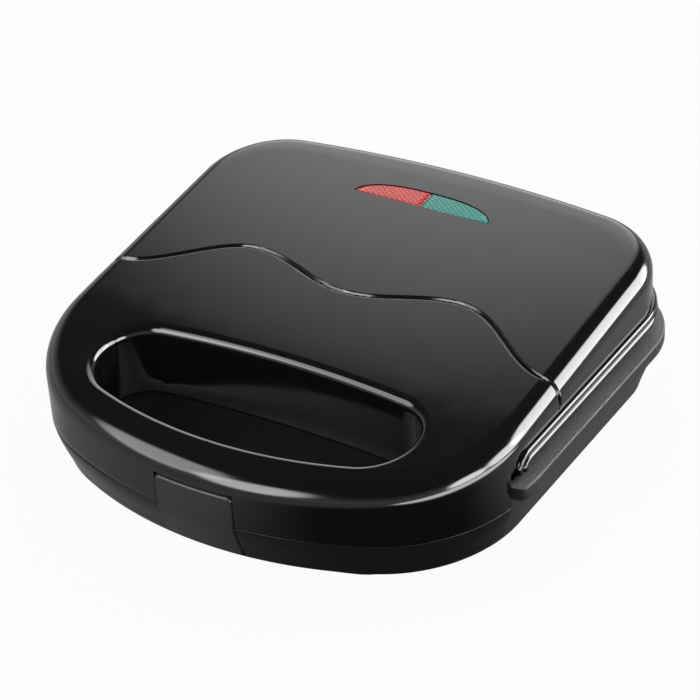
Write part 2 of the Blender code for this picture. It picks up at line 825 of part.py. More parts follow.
# Slot wall and the rolled lip round the slot's top edge
def add_slot_lip(lid):
    hole = outline(slot_plan, slot_wall / 2, slot_steps)
    cut(lid, prism("slot", hole, 0.0, lid_back_height))
    roll_shares = ((0.12, 0.35), (0.35, 1.0), (0.65, 0.9), (0.95, -0.2))
    section = [(0.0, -lip_width / 2)]
    section += [(share * lip_width, rise_share * lip_rise) for share, rise_share in roll_shares]
    section += [(lip_width - shell_wall / 5, -shell_wall / 2), (slot_wall, -shell_wall - lip_rise)]
    foot = grip_lid_bottom - overrun * 2 / 3
    rings = [at_height(outline(slot_plan, 0.0, slot_steps), foot)]
    for spread, rise in section:
        ring = outline(slot_plan, spread, slot_steps)
        rings.append(at_height(ring, lid_top(ring[:, 0], ring[:, 1]) + rise))
    rings.append(at_height(outline(slot_plan, slot_wall, slot_steps), foot))
    liner = loft("liner", rings[::-1], round_trip=True)
    return join(lid, liner)


# Rings of the base's skin from the floor up
def base_rings(grow, floor, top):
    rows = (
        (-base_floor_inset, floor),
        (-base_draft, floor + (base_edge - floor_bottom)),
        (-base_draft * base_belly_share, (base_edge + grip_parting_height) / 2),
        (0.0, grip_parting_height),
        (0.0, top),
    )
    return [at_height(outline(body_plan, inset + grow), height) for inset, height in rows]


def build_lower_shell():
    base = loft("lower_shell", base_rings(0.0, floor_bottom, flange_top), finish="spark_black")
    inside = loft("inside", base_rings(-shell_wall, floor_top, flange_top + overrun))
    reach = wall_side + flange_side_reach + overrun
    web_front = step_line + seat_gap
    cut(inside, block("web", (-reach, reach), (web_front, web_front + web_wall),
                      (0.0, flange_top + 2 * overrun)))
    cut(base, inside)
    tube_plan = outline(slot_plan, base_slot_wall, slot_steps)
    join(base, prism("slot_wall", tube_plan, floor_bottom + shell_wall / 2, flange_top))
    inner = outline(body_plan, -flange_root)
    outer = outline(flange_plan)
    span = flange_side_reach + flange_root
    edge_share = 1 - flange_round / span
    section = ((0.0, flange_bottom), (edge_share, flange_bottom), (1.0, flange_bottom + flange_round),
               (1.0, flange_top - flange_round), (edge_share, flange_top), (0.0, flange_top))
    join(base, swept_band("flange", inner, outer, section))
    cut(base, block("grip_top", (-reach, reach), (wall_front * 2, web_front),
                    (grip_base_top, lid_back_height)))
    cut(base, block("flange_front", (-reach, reach), (wall_front * 2, web_front),
                    (flange_bottom - overrun / 2, lid_back_height)))
    lid_wall_room = outline(slot_plan, slot_wall + seat_gap, slot_steps)
    cut(base, prism("lid_wall_room", lid_wall_room, grip_base_top, lid_back_height))
    hole = outline(slot_plan, 0.0, slot_steps)
    cut(base, prism("slot", hole, 0.0, lid_back_height))
    cut(base, hinge_channel("channel"))
    _, base_ranges = hinge_stations()
    for index, x_range in enumerate(base_ranges):
        join(base, knuckle(f"base_knuckle_{index}", x_range,
                           (gap_middle_height - base_arm_drop, gap_middle_height)))
    cut(base, pin_bore("base_bore"))
    add_floor_posts(base)
    add_reflector_posts(base)
    add_cord_opening(base)
    add_clip_pocket(base)
    return smooth(base)


def post_places():
    return [(sign * post_side, y) for y in (post_front, post_back) for sign in (-1, 1)]


def foot_places():
    return [(sign * foot_side, y) for y in (foot_front, foot_back) for sign in (-1, 1)]


# Posts that carry the lower plate, with screw holes, and holes for the feet's stems
def add_floor_posts(base):
    post_top = base_plate_face - plate_height - plate_boss_height - seat_gap
    for x, y in post_places():
        join(base, turned("post", ((post_radius, floor_bottom + shell_wall / 2),
                                   (post_radius, post_top)), x, y, 14))
    hole = screw_radius + pin_clearance
    head = screw_head_radius + pin_clearance
    for x, y in post_places():
        shoulder = floor_bottom + screw_head_depth
        cut(base, turned("screw_hole", ((head, 0.0), (head, shoulder), (hole, shoulder),
                                        (hole, post_top + overrun)), x, y, 12))
    stem_hole = foot_stem_radius + seat_gap
    for x, y in foot_places():
        cut(base, turned("stem_hole", ((stem_hole, 0.0), (stem_hole, floor_top + overrun)), x, y, 12))


# Round outlet for the mains cord in the back wall, with a short collar inside
def add_cord_opening(base):
    def rod(name, radius, y_range):
        angles = np.arange(20) * 2 * math.pi / 20
        circle = np.stack([np.cos(angles), np.zeros(20), np.sin(angles)], 1)
        place = np.array([cord_opening_side, 0.0, cord_opening_height])
        rings = [circle * radius + place + np.array([0.0, y, 0.0]) for y in y_range]
        return loft(name, rings)
    collar_back = wall_back - shell_wall / 2
    join(base, rod("collar", cord_opening_radius + cord_collar_wall,
                   (collar_back - cord_collar_depth, collar_back)))
    cut(base, rod("outlet", cord_opening_radius,
                  (collar_back - cord_collar_depth - overrun, wall_back + flange_back_reach + overrun)))


# One cooking plate with four three-cornered pockets; way is +1 for the lid's plate
def build_plate(name, face, way):
    steps = (3, 4, 2, 5, 3)
    rim = outline(plate_plan, 0.0, steps)
    block_plan = outline(plate_plan, -plate_block_inset, steps)
    shoulder = outline(plate_plan, -plate_block_inset + plate_rim, steps)
    rings = [
        at_height(rim, face), at_height(rim, face + way * plate_rim),
        at_height(shoulder, face + way * plate_rim), at_height(block_plan, face + way * plate_height),
    ]
    if way < 0:
        rings = rings[::-1]
    plate = loft(name, rings, finish="plate_coating")
    for x, y in post_places():
        low, high = sorted((face + way * plate_rim / 2, face + way * (plate_height + plate_boss_height)))
        join(plate, turned("boss", ((plate_boss_radius, low), (plate_boss_radius, high)), x, y, 12))
    for corners in pocket_plans():
        cut(plate, pocket(corners, face, way))
    bore = screw_radius + pin_clearance
    bore_end = plate_height + plate_boss_height + overrun
    for x, y in post_places():
        low, high = sorted((face + way * (plate_height - plate_rim), face + way * bore_end))
        cut(plate, turned("boss_bore", ((bore, low), (bore, high)), x, y, 10))
    return smooth(plate, math.radians(25))


# Two square sandwiches side by side, each cut corner to corner
def pocket_plans():
    inner_side = pocket_half_ridge
    outer_side = plate_side - plate_block_inset - pocket_inset
    front = plate_front + plate_block_inset + pocket_inset
    back = plate_back - plate_block_inset - pocket_inset
    gap = pocket_half_ridge * 2
    plans = []
    for sign in (-1, 1):
        near_triangle = [(sign * inner_side, front), (sign * (outer_side - gap), front),
                         (sign * inner_side, back - gap)]
        far_triangle = [(sign * outer_side, front + gap), (sign * outer_side, back),
                        (sign * (inner_side + gap), back)]
        plans.append(near_triangle)
        plans.append(far_triangle)
    return plans


# Three-cornered pocket with softened corners that narrows toward its floor
def pocket(corners, face, way):
    corners = np.array(corners)
    middle = corners.mean(axis=0)
    turn = np.cross(corners[1] - corners[0], corners[2] - corners[0])
    if turn < 0:
        corners = corners[::-1]
    rounded = []
    for index in range(3):
        corner = corners[index]
        for neighbour in (corners[index - 1], corners[(index + 1) % 3]):
            away = neighbour - corner
            rounded.append(corner + away / np.linalg.norm(away) * pocket_inset)
    rounded = np.array(rounded)
    size = np.linalg.norm(rounded - middle, axis=1).mean()
    floor = middle + (rounded - middle) * (1 - pocket_floor_inset / size)
    rings = [
        at_height(middle + (rounded - middle) * (1 + overrun / size / 2), face - way * overrun / 2),
        at_height(rounded, face), at_height(floor, face + way * pocket_depth),
    ]
    if way < 0:
        rings = rings[::-1]
    return loft("pocket", rings)


# Bent heating tube lying on a plate's back
def build_element(name, height):
    corners = [(-element_half_gap, element_back), (-element_half_width, element_back),
               (-element_half_width, element_front), (element_half_width, element_front),
               (element_half_width, element_back), (element_half_gap, element_back)]
    points = [Vector((*corners[0], 0))]
    for before, corner, after in zip(corners, corners[1:], corners[2:]):
        before, corner, after = Vector(before), Vector(corner), Vector(after)
        entry = corner + (before - corner).normalized() * element_bend
        leave = corner + (after - corner).normalized() * element_bend
        centre = entry + (leave - corner)
        for index in range(6):
            turn = index / 5 * math.pi / 2
            spot = centre + (entry - centre) * math.cos(turn) + (leave - centre) * math.sin(turn)
            points.append(Vector((*spot, 0)))
    points.append(Vector((*corners[-1], 0)))
    curve = bpy.data.curves.new(name, "CURVE")
    curve.dimensions = "3D"
    curve.bevel_depth = element_radius
    curve.bevel_resolution = 2
    curve.use_fill_caps = True
    line = curve.splines.new("POLY")
    line.points.add(len(points) - 1)
    for slot, point in zip(line.points, points):
        slot.co = (point.x, point.y, height, 1.0)
    curve.materials.append(materials["element_steel"])
    made = bpy.data.objects.new(name, curve)
    bpy.context.scene.collection.objects.link(made)
    return made


# Sheet pan over an element: a floor and a turned rim, holes for the plate's bosses
def build_reflector(name, back, level, way):
    steps = (3, 4, 1, 4, 3)
    outer = outline(reflector_plan(back), 0.0, steps)
    inner = outline(reflector_plan(back), -sheet, steps)
    outer_level = level(outer)
    inner_level = level(inner)
    rings = [
        at_height(inner, inner_level - way * reflector_rim),
        at_height(outer, outer_level - way * reflector_rim),
        at_height(outer, outer_level + way * sheet),
    ]
    mesh_edit = bmesh.new()
    layers = [[mesh_edit.verts.new(point) for point in ring] for ring in rings]
    layers.append([mesh_edit.verts.new(point) for point in at_height(inner, inner_level)])
    count = len(outer)
    for lower, upper in ((layers[0], layers[1]), (layers[1], layers[2]), (layers[3], layers[0])):
        for index in range(count):
            after = (index + 1) % count
            mesh_edit.faces.new((lower[index], lower[after], upper[after], upper[index]))
    mesh_edit.faces.new(layers[2])
    mesh_edit.faces.new(layers[3][::-1])
    made = new_object(name, mesh_edit, "sheet_steel")
    return made


def build_lamp_holder():
    y = lens_chord + lens_bulge / 2
    top = lid_top(holder_half_length, y - holder_depth / 2) - shell_wall - lens_flange_height - 3 * seat_gap
    y_range = (y - holder_depth / 2, y + holder_depth / 2)
    made = block("lamp_holder", (-holder_half_length, holder_half_length), y_range,
                 (top - holder_height, top), "holder_white")
    for sign in (-1, 1):
        ends = sorted((sign * holder_wall / 2, sign * (holder_half_length - holder_wall)))
        cut(made, block("well", ends, (y_range[0] + holder_wall, y_range[1] - holder_wall),
                        (top - holder_height + holder_wall, top + overrun)))
    return made


def build_lamp(name, sign):
    y = lens_chord + lens_bulge / 2
    top = lid_top(holder_half_length, y - holder_depth / 2) - shell_wall - lens_flange_height - 3 * seat_gap
    height = top - holder_height + holder_wall + seat_gap + lamp_radius
    middle = sign * (holder_half_length - holder_wall / 2) / 2
    x_range = (middle - lamp_length / 2, middle + lamp_length / 2)
    return smooth(cross_rod(name, lamp_radius, x_range, y, height, 12, "lamp_glass", lamp_tip))


def build_foot(name, x, y):
    profile = ((foot_radius - flange_round, 0.0), (foot_radius, flange_round),
               (foot_top_radius, foot_height - seat_gap), (foot_stem_radius, foot_height - seat_gap),
               (foot_stem_radius, foot_height + foot_stem_height))
    return smooth(turned(name, profile, x, y, 20, "foot_rubber"))


def build_screw(name, x, y):
    head_top = floor_bottom + screw_head_depth - seat_gap
    shank_top = base_plate_face - plate_height + plate_rim - seat_gap
    profile = ((screw_head_radius, head_top - screw_head_height), (screw_head_radius, head_top),
               (screw_radius, head_top), (screw_radius, shank_top))
    return smooth(turned(name, profile, x, y, 12, "pin_steel"))


def build_hinge_pin(name, side):
    reach = lid_knuckle_width / 2 + knuckle_gap + base_knuckle_width - seat_gap
    return smooth(cross_rod(name, hinge_pin_radius, (side - reach, side + reach),
                            hinge_back, gap_middle_height, 12, "pin_steel", taper=pin_clearance))


def build_thermostat():
    top = base_plate_face - plate_height - seat_gap
    rim_shares = ((0.8, 1.0), (1.0, 0.75), (1.0, 0.2), (0.9, 0.0))
    profile = [(thermostat_radius * out, top - thermostat_height * drop) for out, drop in rim_shares]
    return smooth(turned("thermostat", profile, 0.0, thermostat_back, 20, "ceramic_white"))


def build_fuse():
    height = base_plate_face - plate_height - seat_gap - fuse_radius
    x_range = (-fuse_length / 2, fuse_length / 2)
    return smooth(cross_rod("thermal_fuse", fuse_radius, x_range, fuse_back, height, 12,
                            "sheet_steel", seat_gap))


def build_terminal_block():
    y_range = (terminal_back - terminal_depth / 2, terminal_back + terminal_depth / 2)
    made = block("terminal_block", (-terminal_half_length, terminal_half_length), y_range,
                 (terminal_bottom, terminal_top), "ceramic_white")
    well_floor = (terminal_bottom + terminal_top) / 2
    for share in (-2 / 3, 0, 2 / 3):
        cut(made, turned("screw_well", ((terminal_bore, well_floor), (terminal_bore, terminal_top + overrun)),
                         share * terminal_half_length, terminal_back, 10))
    return made


def lid_reflector_level(points):
    return lid_top(points[:, 0], points[:, 1]) - lid_reflector_drop


def base_reflector_level(points):
    return np.full(len(points), base_reflector_height)


# Empties that stand on the joint axes and carry the moving pieces
def axis_empty(name, y, z, parent=None):
    made = bpy.data.objects.new(name, None)
    bpy.context.scene.collection.objects.link(made)
    made.location = (0.0, y, z)
    if parent:
        made.parent = parent
        made.location = Vector((0.0, y, z)) - parent.location
    return made


def carry(parent, pieces, offset):
    for piece in pieces:
        piece.parent = parent
        piece.location = -offset


def main():
    lid_pieces = [
        build_upper_shell(),
        half_lens("red_lens", -1, "red_lens"),
        half_lens("green_lens", 1, "green_lens"),
        build_lamp_holder(),
        build_lamp("red_lamp", -1),
        build_lamp("green_lamp", 1),
        build_plate("upper_plate", lid_plate_face, 1),
        build_element("upper_element", lid_plate_face + plate_height + seat_gap + element_radius),
        build_reflector("upper_reflector", lid_reflector_back, lid_reflector_level, 1),
        build_clip_pin(),
    ]
    clip = build_clip()
    build_lower_shell()
    build_plate("lower_plate", base_plate_face, -1)
    build_element("lower_element", base_plate_face - plate_height - seat_gap - element_radius)
    build_reflector("lower_reflector", base_reflector_back, base_reflector_level, -1)
    build_thermostat()
    build_fuse()
    build_terminal_block()
    foot_names = ("foot_front_left", "foot_front_right", "foot_rear_left", "foot_rear_right")
    for name, (x, y) in zip(foot_names, foot_places()):
        build_foot(name, x, y)
    screw_names = ("screw_front_left", "screw_front_right", "screw_rear_left", "screw_rear_right")
    for name, (x, y) in zip(screw_names, post_places()):
        build_screw(name, x, y)
    build_hinge_pin("hinge_pin_left", -hinge_side)
    build_hinge_pin("hinge_pin_right", hinge_side)
    hinge_axis = axis_empty("lid_axis", hinge_back, gap_middle_height)
    clip_axis = axis_empty("clip_axis", clip_pivot_front, clip_pivot_height, hinge_axis)
    hinge_place = Vector((0.0, hinge_back, gap_middle_height))
    clip_place = Vector((0.0, clip_pivot_front, clip_pivot_height))
    carry(hinge_axis, lid_pieces, hinge_place)
    carry(clip_axis, [clip], clip_place)


main()
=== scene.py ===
# Countertop sandwich maker dressed for rendering: metres, +Z up, front toward -Y
import math

import bmesh
import bpy
import numpy as np
from mathutils import Matrix, Vector


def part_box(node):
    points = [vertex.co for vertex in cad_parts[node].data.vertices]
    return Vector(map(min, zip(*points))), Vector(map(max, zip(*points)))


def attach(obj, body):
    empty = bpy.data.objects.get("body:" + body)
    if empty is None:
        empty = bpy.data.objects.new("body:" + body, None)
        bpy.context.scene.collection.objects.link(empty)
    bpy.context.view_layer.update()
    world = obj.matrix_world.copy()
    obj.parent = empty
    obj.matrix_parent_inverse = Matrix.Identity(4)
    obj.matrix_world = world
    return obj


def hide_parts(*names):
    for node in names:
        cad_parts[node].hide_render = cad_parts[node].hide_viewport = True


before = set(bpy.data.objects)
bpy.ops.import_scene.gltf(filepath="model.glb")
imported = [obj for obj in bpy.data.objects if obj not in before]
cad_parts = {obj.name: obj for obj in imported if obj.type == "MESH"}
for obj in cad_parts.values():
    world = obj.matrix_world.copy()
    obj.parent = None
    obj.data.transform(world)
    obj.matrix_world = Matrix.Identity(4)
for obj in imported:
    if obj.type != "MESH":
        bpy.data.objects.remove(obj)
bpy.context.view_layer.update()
print("frame loaded,", len(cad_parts), "solids")

bodyPlan = {
    "side": 0.1096, "front": -0.1095, "back": 0.1055,
    "frontSag": 0.0092, "frontCorner": 0.0650, "backSag": 0.0035, "backCorner": 0.0366,
}
slotPlan = {
    "side": 0.0735, "front": -0.0920, "back": -0.0412,
    "frontSag": 0.00809, "frontCorner": 0.0220, "backSag": 0.00274, "backCorner": 0.0170,
}
levels = {
    "floorBottom": 0.0090, "gripBaseTop": 0.03185, "gripLidBottom": 0.03215,
    "flangeBottom": 0.0361, "flangeTop": 0.0421, "beadBottom": 0.0478,
    "stepY": -0.0475, "wall": 0.0025, "softEdge": 0.0003,
}
signs = (-1, 1)
mirrored = np.array([-1, 1])
quarter = math.pi / 2


# Radius of a bow that falls by its sag where its corner starts
def bowRadius(plan, end):
    reach = plan["side"] - plan[end + "Corner"]
    return plan[end + "Corner"] + (reach ** 2 + plan[end + "Sag"] ** 2) / (2 * plan[end + "Sag"])


for plan in (bodyPlan, slotPlan):
    plan["frontBow"] = bowRadius(plan, "front")
    plan["backBow"] = bowRadius(plan, "back")


# Points of an arc: its middle plus its radius along each direction of the turn
def arcPoints(middle, radius, start, end, count):
    turn = np.linspace(start, end, count)
    return np.array(middle) + radius * np.stack([np.cos(turn), np.sin(turn)], 1)


# Right half of an outline from the front middle to the back middle, made of tangent arcs: its points,
# the way each faces, and the run to it along the outline
def halfOutline(plan, perArc=1500):
    frontSide, backSide = plan["side"] - plan["frontCorner"], plan["side"] - plan["backCorner"]
    frontDrop = math.sqrt((plan["frontBow"] - plan["frontCorner"]) ** 2 - frontSide ** 2)
    backDrop = math.sqrt((plan["backBow"] - plan["backCorner"]) ** 2 - backSide ** 2)
    frontMiddle, backMiddle = plan["front"] + plan["frontBow"], plan["back"] - plan["backBow"]
    frontTurn, backTurn = math.atan2(-frontDrop, frontSide), math.atan2(backDrop, backSide)
    arcs = (
        ((0.0, frontMiddle), plan["frontBow"], -quarter, frontTurn),
        ((frontSide, frontMiddle - frontDrop), plan["frontCorner"], frontTurn, 0.0),
        ((backSide, backMiddle + backDrop), plan["backCorner"], 0.0, backTurn),
        ((0.0, backMiddle), plan["backBow"], backTurn, quarter),
    )
    place = np.vstack([arcPoints(*arc, perArc) for arc in arcs])
    facing = np.vstack([arcPoints((0.0, 0.0), 1.0, start, end, perArc) for _, _, start, end in arcs])
    steps = np.linalg.norm(np.diff(place, axis=0), axis=1)
    return {"place": place, "facing": facing, "run": np.concatenate([[0.0], np.cumsum(steps)])}


bodyHalf = halfOutline(bodyPlan)
slotHalf = halfOutline(slotPlan)


def runAtY(y):
    return np.interp(y, bodyHalf["place"][:, 1], bodyHalf["run"])


def bodySide(y):
    return np.interp(y, bodyHalf["place"][:, 1], bodyHalf["place"][:, 0])


def alongHalf(half, runs):
    return [np.stack([np.interp(runs, half["run"], half[part][:, axis]) for axis in (0, 1)], -1)
            for part in ("place", "facing")]


# Points and facings of a whole ring, given the runs along its right half
def wholeRing(half, runs):
    place, facing = alongHalf(half, runs)
    facing /= np.linalg.norm(facing, axis=1)[:, None]
    place[0, 0] = place[-1, 0] = facing[0, 0] = facing[-1, 0] = 0.0
    return np.vstack([place, place[-2:0:-1] * mirrored]), np.vstack([facing, facing[-2:0:-1] * mirrored])


# Plan points of a ring moved out along its facings
def moved(ring, out):
    return ring[0] + ring[1] * np.broadcast_to(out, len(ring[0]))[:, None]


# A row of a grid: plan points with a height each
def row(plan, height):
    return np.column_stack([plan, np.broadcast_to(height, len(plan))])


# Quarter round: at each step, the share of its radius gone across and the share still to climb
def roundShares(count):
    return [(1 - math.cos(turn), 1 - math.sin(turn)) for turn in np.linspace(0, quarter, count)]


def linked(name, data):
    made = bpy.data.objects.new(name, data)
    bpy.context.scene.collection.objects.link(made)
    return made


def finishMesh(made, material, sharp=35):
    made.data.shade_smooth()
    made.data.set_sharp_from_angle(angle=math.radians(sharp))
    if material:
        made.data.materials.clear()
        made.data.materials.append(material)
    return made


# A mesh from a grid of points whose columns close round; its rows close round too, or both ends are capped.
# Its faces are turned to look out: the volume that they enclose, summed over their triangles, is positive.
def gridPiece(name, grid, material=None, capped=False, sharp=35):
    index = np.arange(grid.shape[0] * grid.shape[1]).reshape(grid.shape[:2])
    below = np.roll(index, -1, 0)
    faces = np.stack([index, np.roll(index, -1, 1), np.roll(below, -1, 1), below], -1)
    faces = (faces[:-1] if capped else faces).reshape(-1, 4)
    points = grid.reshape(-1, 3)
    corners = points[faces] - points.mean(axis=0)
    twice = np.cross(corners[:, 1], corners[:, 2]) + np.cross(corners[:, 2], corners[:, 3])
    faceList = faces.tolist()
    if capped:
        faceList += [index[0, ::-1].tolist(), index[-1].tolist()]
    if (corners[:, 0] * twice).sum() < 0:
        faceList = [face[::-1] for face in faceList]
    mesh = bpy.data.meshes.new(name)
    mesh.from_pydata(points.tolist(), [], faceList)
    mesh.update()
    return finishMesh(linked(name, mesh), material, sharp)


# Cut one solid out of a piece and keep the result as its mesh
def cutAway(piece, cutter):
    modifier = piece.modifiers.new("cut", "BOOLEAN")
    modifier.solver = "EXACT"
    modifier.operation = "DIFFERENCE"
    modifier.object = cutter
    bpy.context.view_layer.update()
    result = bpy.data.meshes.new_from_object(piece.evaluated_get(bpy.context.evaluated_depsgraph_get()))
    piece.modifiers.remove(modifier)
    piece.data = result
    bpy.data.objects.remove(cutter, do_unlink=True)


# A grid whose points lie at two places across an axis and one along it
def acrossAxis(axis, along, first, second):
    grid = np.empty((*np.shape(first), 3))
    others = [other for other in range(3) if other != axis]
    grid[..., axis] = along
    grid[..., others[0]] = first
    grid[..., others[1]] = second
    return grid


# Turned solid: a profile of (place along the axis, radius) pairs carried round the axis through a middle;
# a hollow one is closed from its last pair to its first
def turned(profile, axis, middle, sides=40, hollow=False):
    turn = np.arange(sides) * 2 * math.pi / sides
    along, radius = np.array(profile).T[:, :, None]
    grid = acrossAxis(axis, along, middle[0] + radius * np.cos(turn), middle[1] + radius * np.sin(turn))
    return gridPiece("turned", grid, capped=not hollow)


def rod(start, end, radius, axis, middle, sides=40):
    return turned([(start, radius), (end, radius)], axis, middle, sides)


# Slab: a flat outline carried from one level of an axis to another
def slab(outline, start, end, axis):
    first, second = np.broadcast_to(np.array(outline).T[:, None], (2, 2, len(outline)))
    return gridPiece("slab", acrossAxis(axis, [[start], [end]], first, second), capped=True)


# Several closed solids gathered into one piece
def gatherPiece(name, solids, material=None):
    edit = bmesh.new()
    for solid in solids:
        edit.from_mesh(solid.data)
        bpy.data.objects.remove(solid, do_unlink=True)
    mesh = bpy.data.meshes.new(name)
    edit.to_mesh(mesh)
    edit.free()
    return finishMesh(linked(name, mesh), material)


def softBevel(piece, width):
    bevel = piece.modifiers.new("edge", "BEVEL")
    bevel.width = width
    bevel.segments = 2
    bevel.limit_method = "ANGLE"
    bevel.angle_limit = math.radians(40)


def bothSides(side, rows):
    return [(sign * side, y) for sign in signs for y in rows]


# Give a node's inputs, by name or place, a number, a colour or another node's output each
def fill(tree, node, inputs):
    for name, value in inputs.items():
        socket = node.inputs[name]
        if isinstance(value, bpy.types.NodeSocket):
            tree.links.new(value, socket)
        else:
            socket.default_value = (*value, 1.0) if socket.type == "RGBA" else value


def addNode(tree, kind, inputs, **settings):
    node = tree.nodes.new("ShaderNode" + kind)
    for name, value in settings.items():
        setattr(node, name, value)
    fill(tree, node, inputs)
    return node.outputs


def calculate(tree, operation, first, second):
    return addNode(tree, "Math", {0: first, 1: second}, operation=operation)["Value"]


# Materials: each starts from a Principled shader, with patterns on Object coordinates
def newFinish(name, roughness, metallic=0.0):
    material = bpy.data.materials.new(name)
    material.use_nodes = True
    tree = material.node_tree
    shader = tree.nodes["Principled BSDF"]
    fill(tree, shader, {"Roughness": roughness, "Metallic": metallic})
    return material, tree, shader, addNode(tree, "TexCoord", {})["Object"]


def noiseField(tree, place, scale, detail=2.0):
    return addNode(tree, "TexNoise", {"Vector": place, "Scale": scale, "Detail": detail})["Fac"]


def mapField(tree, field, low, high, fromLow=0.3, fromHigh=0.7, fade="LINEAR"):
    ends = {"Value": field, "From Min": fromLow, "From Max": fromHigh, "To Min": low, "To Max": high}
    return addNode(tree, "MapRange", ends, interpolation_type=fade)["Result"]


def mixColours(tree, field, first, second):
    return addNode(tree, "Mix", {"Factor": field, "A": first, "B": second}, data_type="RGBA")["Result"]


def addBump(tree, shader, field, strength, depth):
    bump = addNode(tree, "Bump", {"Height": field, "Strength": strength, "Distance": depth})
    fill(tree, shader, {"Normal": bump["Normal"]})


glossLook = {
    "dark": (0.0075, 0.0075, 0.008), "light": (0.011, 0.011, 0.0115), "cloud": 28,
    "roughness": (0.07, 0.12), "middling": 0.09, "haze": 60, "ripple": 180,
    "strength": 0.05, "depth": 0.00002,
}


def glossPlastic():
    material, tree, shader, place = newFinish("glossPlastic", glossLook["middling"])
    cloud = noiseField(tree, place, glossLook["cloud"], 3)
    haze = noiseField(tree, place, glossLook["haze"], 4)
    fill(tree, shader, {"Base Color": mixColours(tree, cloud, glossLook["dark"], glossLook["light"]),
                        "Roughness": mapField(tree, haze, *glossLook["roughness"])})
    ripple = noiseField(tree, place, glossLook["ripple"], 1)
    addBump(tree, shader, ripple, glossLook["strength"], glossLook["depth"])
    return material


sparkLook = {
    "dark": (0.007, 0.007, 0.0074), "light": (0.027, 0.027, 0.028), "grain": 1700, "depth": 0.00007,
    "rough": 0.46, "polished": 0.13, "fade": 0.0004, "specular": 0.20,
    # the ledge colour is a painted sheen on the flange's upper face
    "ledge": (0.30, 0.30, 0.303), "ledgeZ": 0.0415, "ledgeBack": 0.0985, "ledgeFade": 0.002,
    "leastPaintedSheen": 0.45,
}


# Spark texture behind the step and polish at the grip; the flange's upper face is painted paler on its
# grain, a painted sheen for the light it catches
def sparkPlastic():
    look = sparkLook
    material, tree, shader, place = newFinish("sparkPlastic", look["rough"])
    grain = noiseField(tree, place, look["grain"], 2)
    parts = addNode(tree, "SeparateXYZ", {"Vector": place})
    above = mapField(tree, parts["Z"], 0.0, 1.0, look["ledgeZ"], look["ledgeZ"] + look["fade"])
    ahead = mapField(tree, parts["Y"], 1.0, 0.0, look["ledgeBack"] - look["ledgeFade"], look["ledgeBack"])
    ledge = calculate(tree, "MULTIPLY", above, ahead)
    # painted sheen: the flange's upper face is painted paler, as if lit, more where the grain is high
    paintedSheen = calculate(tree, "MULTIPLY", ledge, mapField(tree, grain, look["leastPaintedSheen"], 1.0))
    skin = mixColours(tree, grain, look["dark"], look["light"])
    behind = mapField(tree, parts["Y"], 0.0, 1.0, levels["stepY"] - look["fade"], levels["stepY"])
    fill(tree, shader, {"Base Color": mixColours(tree, paintedSheen, skin, look["ledge"]),
                        "Roughness": mapField(tree, behind, look["polished"], look["rough"], 0.0, 1.0),
                        "Specular IOR Level": look["specular"]})
    addBump(tree, shader, grain, behind, look["depth"])
    return material


lensLook = {
    "pitch": 0.0017, "turn": 0.6, "strength": 0.5, "depth": 0.0001,
    "roughness": 0.16, "specular": 0.35, "coat": 0.15, "coatRoughness": 0.06,
    "red": ((0.72, 0.04, 0.04), (1.0, 0.22, 0.20)), "green": ((0.012, 0.27, 0.21), (0.09, 0.56, 0.46)),
}
waveLength = 0.31415  # at which a wave texture of scale 1 repeats


# Rows of small prisms: the product of two crossed waves on Object coordinates, turned to the diagonal
def lensPlastic(name, deep, bright):
    material, tree, shader, place = newFinish(name, lensLook["roughness"])
    ridges = []
    for turn in (lensLook["turn"], lensLook["turn"] + quarter):
        spun = addNode(tree, "Mapping", {"Vector": place, "Rotation": (0.0, 0.0, turn)})["Vector"]
        ridges.append(addNode(tree, "TexWave", {"Vector": spun, "Scale": waveLength / lensLook["pitch"],
                                                "Distortion": 0.0})["Fac"])
    prisms = calculate(tree, "MULTIPLY", *ridges)
    addBump(tree, shader, prisms, lensLook["strength"], lensLook["depth"])
    fill(tree, shader, {"Base Color": mixColours(tree, prisms, deep, bright),
                        "Specular IOR Level": lensLook["specular"],
                        "Coat Weight": lensLook["coat"], "Coat Roughness": lensLook["coatRoughness"]})
    return material


plateLook = {
    "dark": (0.018, 0.017, 0.017), "light": (0.034, 0.032, 0.031), "cloud": 90,
    "fleck": (0.09, 0.09, 0.088), "flecks": 1900, "fleckFrom": 0.66, "fleckTo": 0.72,
    "roughness": 0.48, "specular": 0.25, "strength": 0.25, "depth": 0.00003,
}


def plateCoating():
    material, tree, shader, place = newFinish("plateCoating", plateLook["roughness"])
    cloud = noiseField(tree, place, plateLook["cloud"], 4)
    skin = mixColours(tree, cloud, plateLook["dark"], plateLook["light"])
    flecks = noiseField(tree, place, plateLook["flecks"], 1)
    mask = mapField(tree, flecks, 0.0, 1.0, plateLook["fleckFrom"], plateLook["fleckTo"])
    fill(tree, shader, {"Base Color": mixColours(tree, mask, skin, plateLook["fleck"]),
                        "Specular IOR Level": plateLook["specular"]})
    addBump(tree, shader, flecks, plateLook["strength"], plateLook["depth"])
    return material


metalLooks = {
    "elementMetal": {"dark": (0.20, 0.18, 0.16), "light": (0.36, 0.33, 0.30), "roughness": 0.45},
    "sheetMetal": {"dark": (0.50, 0.50, 0.49), "light": (0.66, 0.66, 0.65), "roughness": 0.30},
    "pinMetal": {"dark": (0.46, 0.46, 0.46), "light": (0.62, 0.62, 0.61), "roughness": 0.26},
}
drawing = {"drift": 70, "streaks": (40.0, 2200.0, 2200.0), "smoothest": 0.8, "roughest": 1.25,
           "strength": 0.15, "depth": 0.00002}


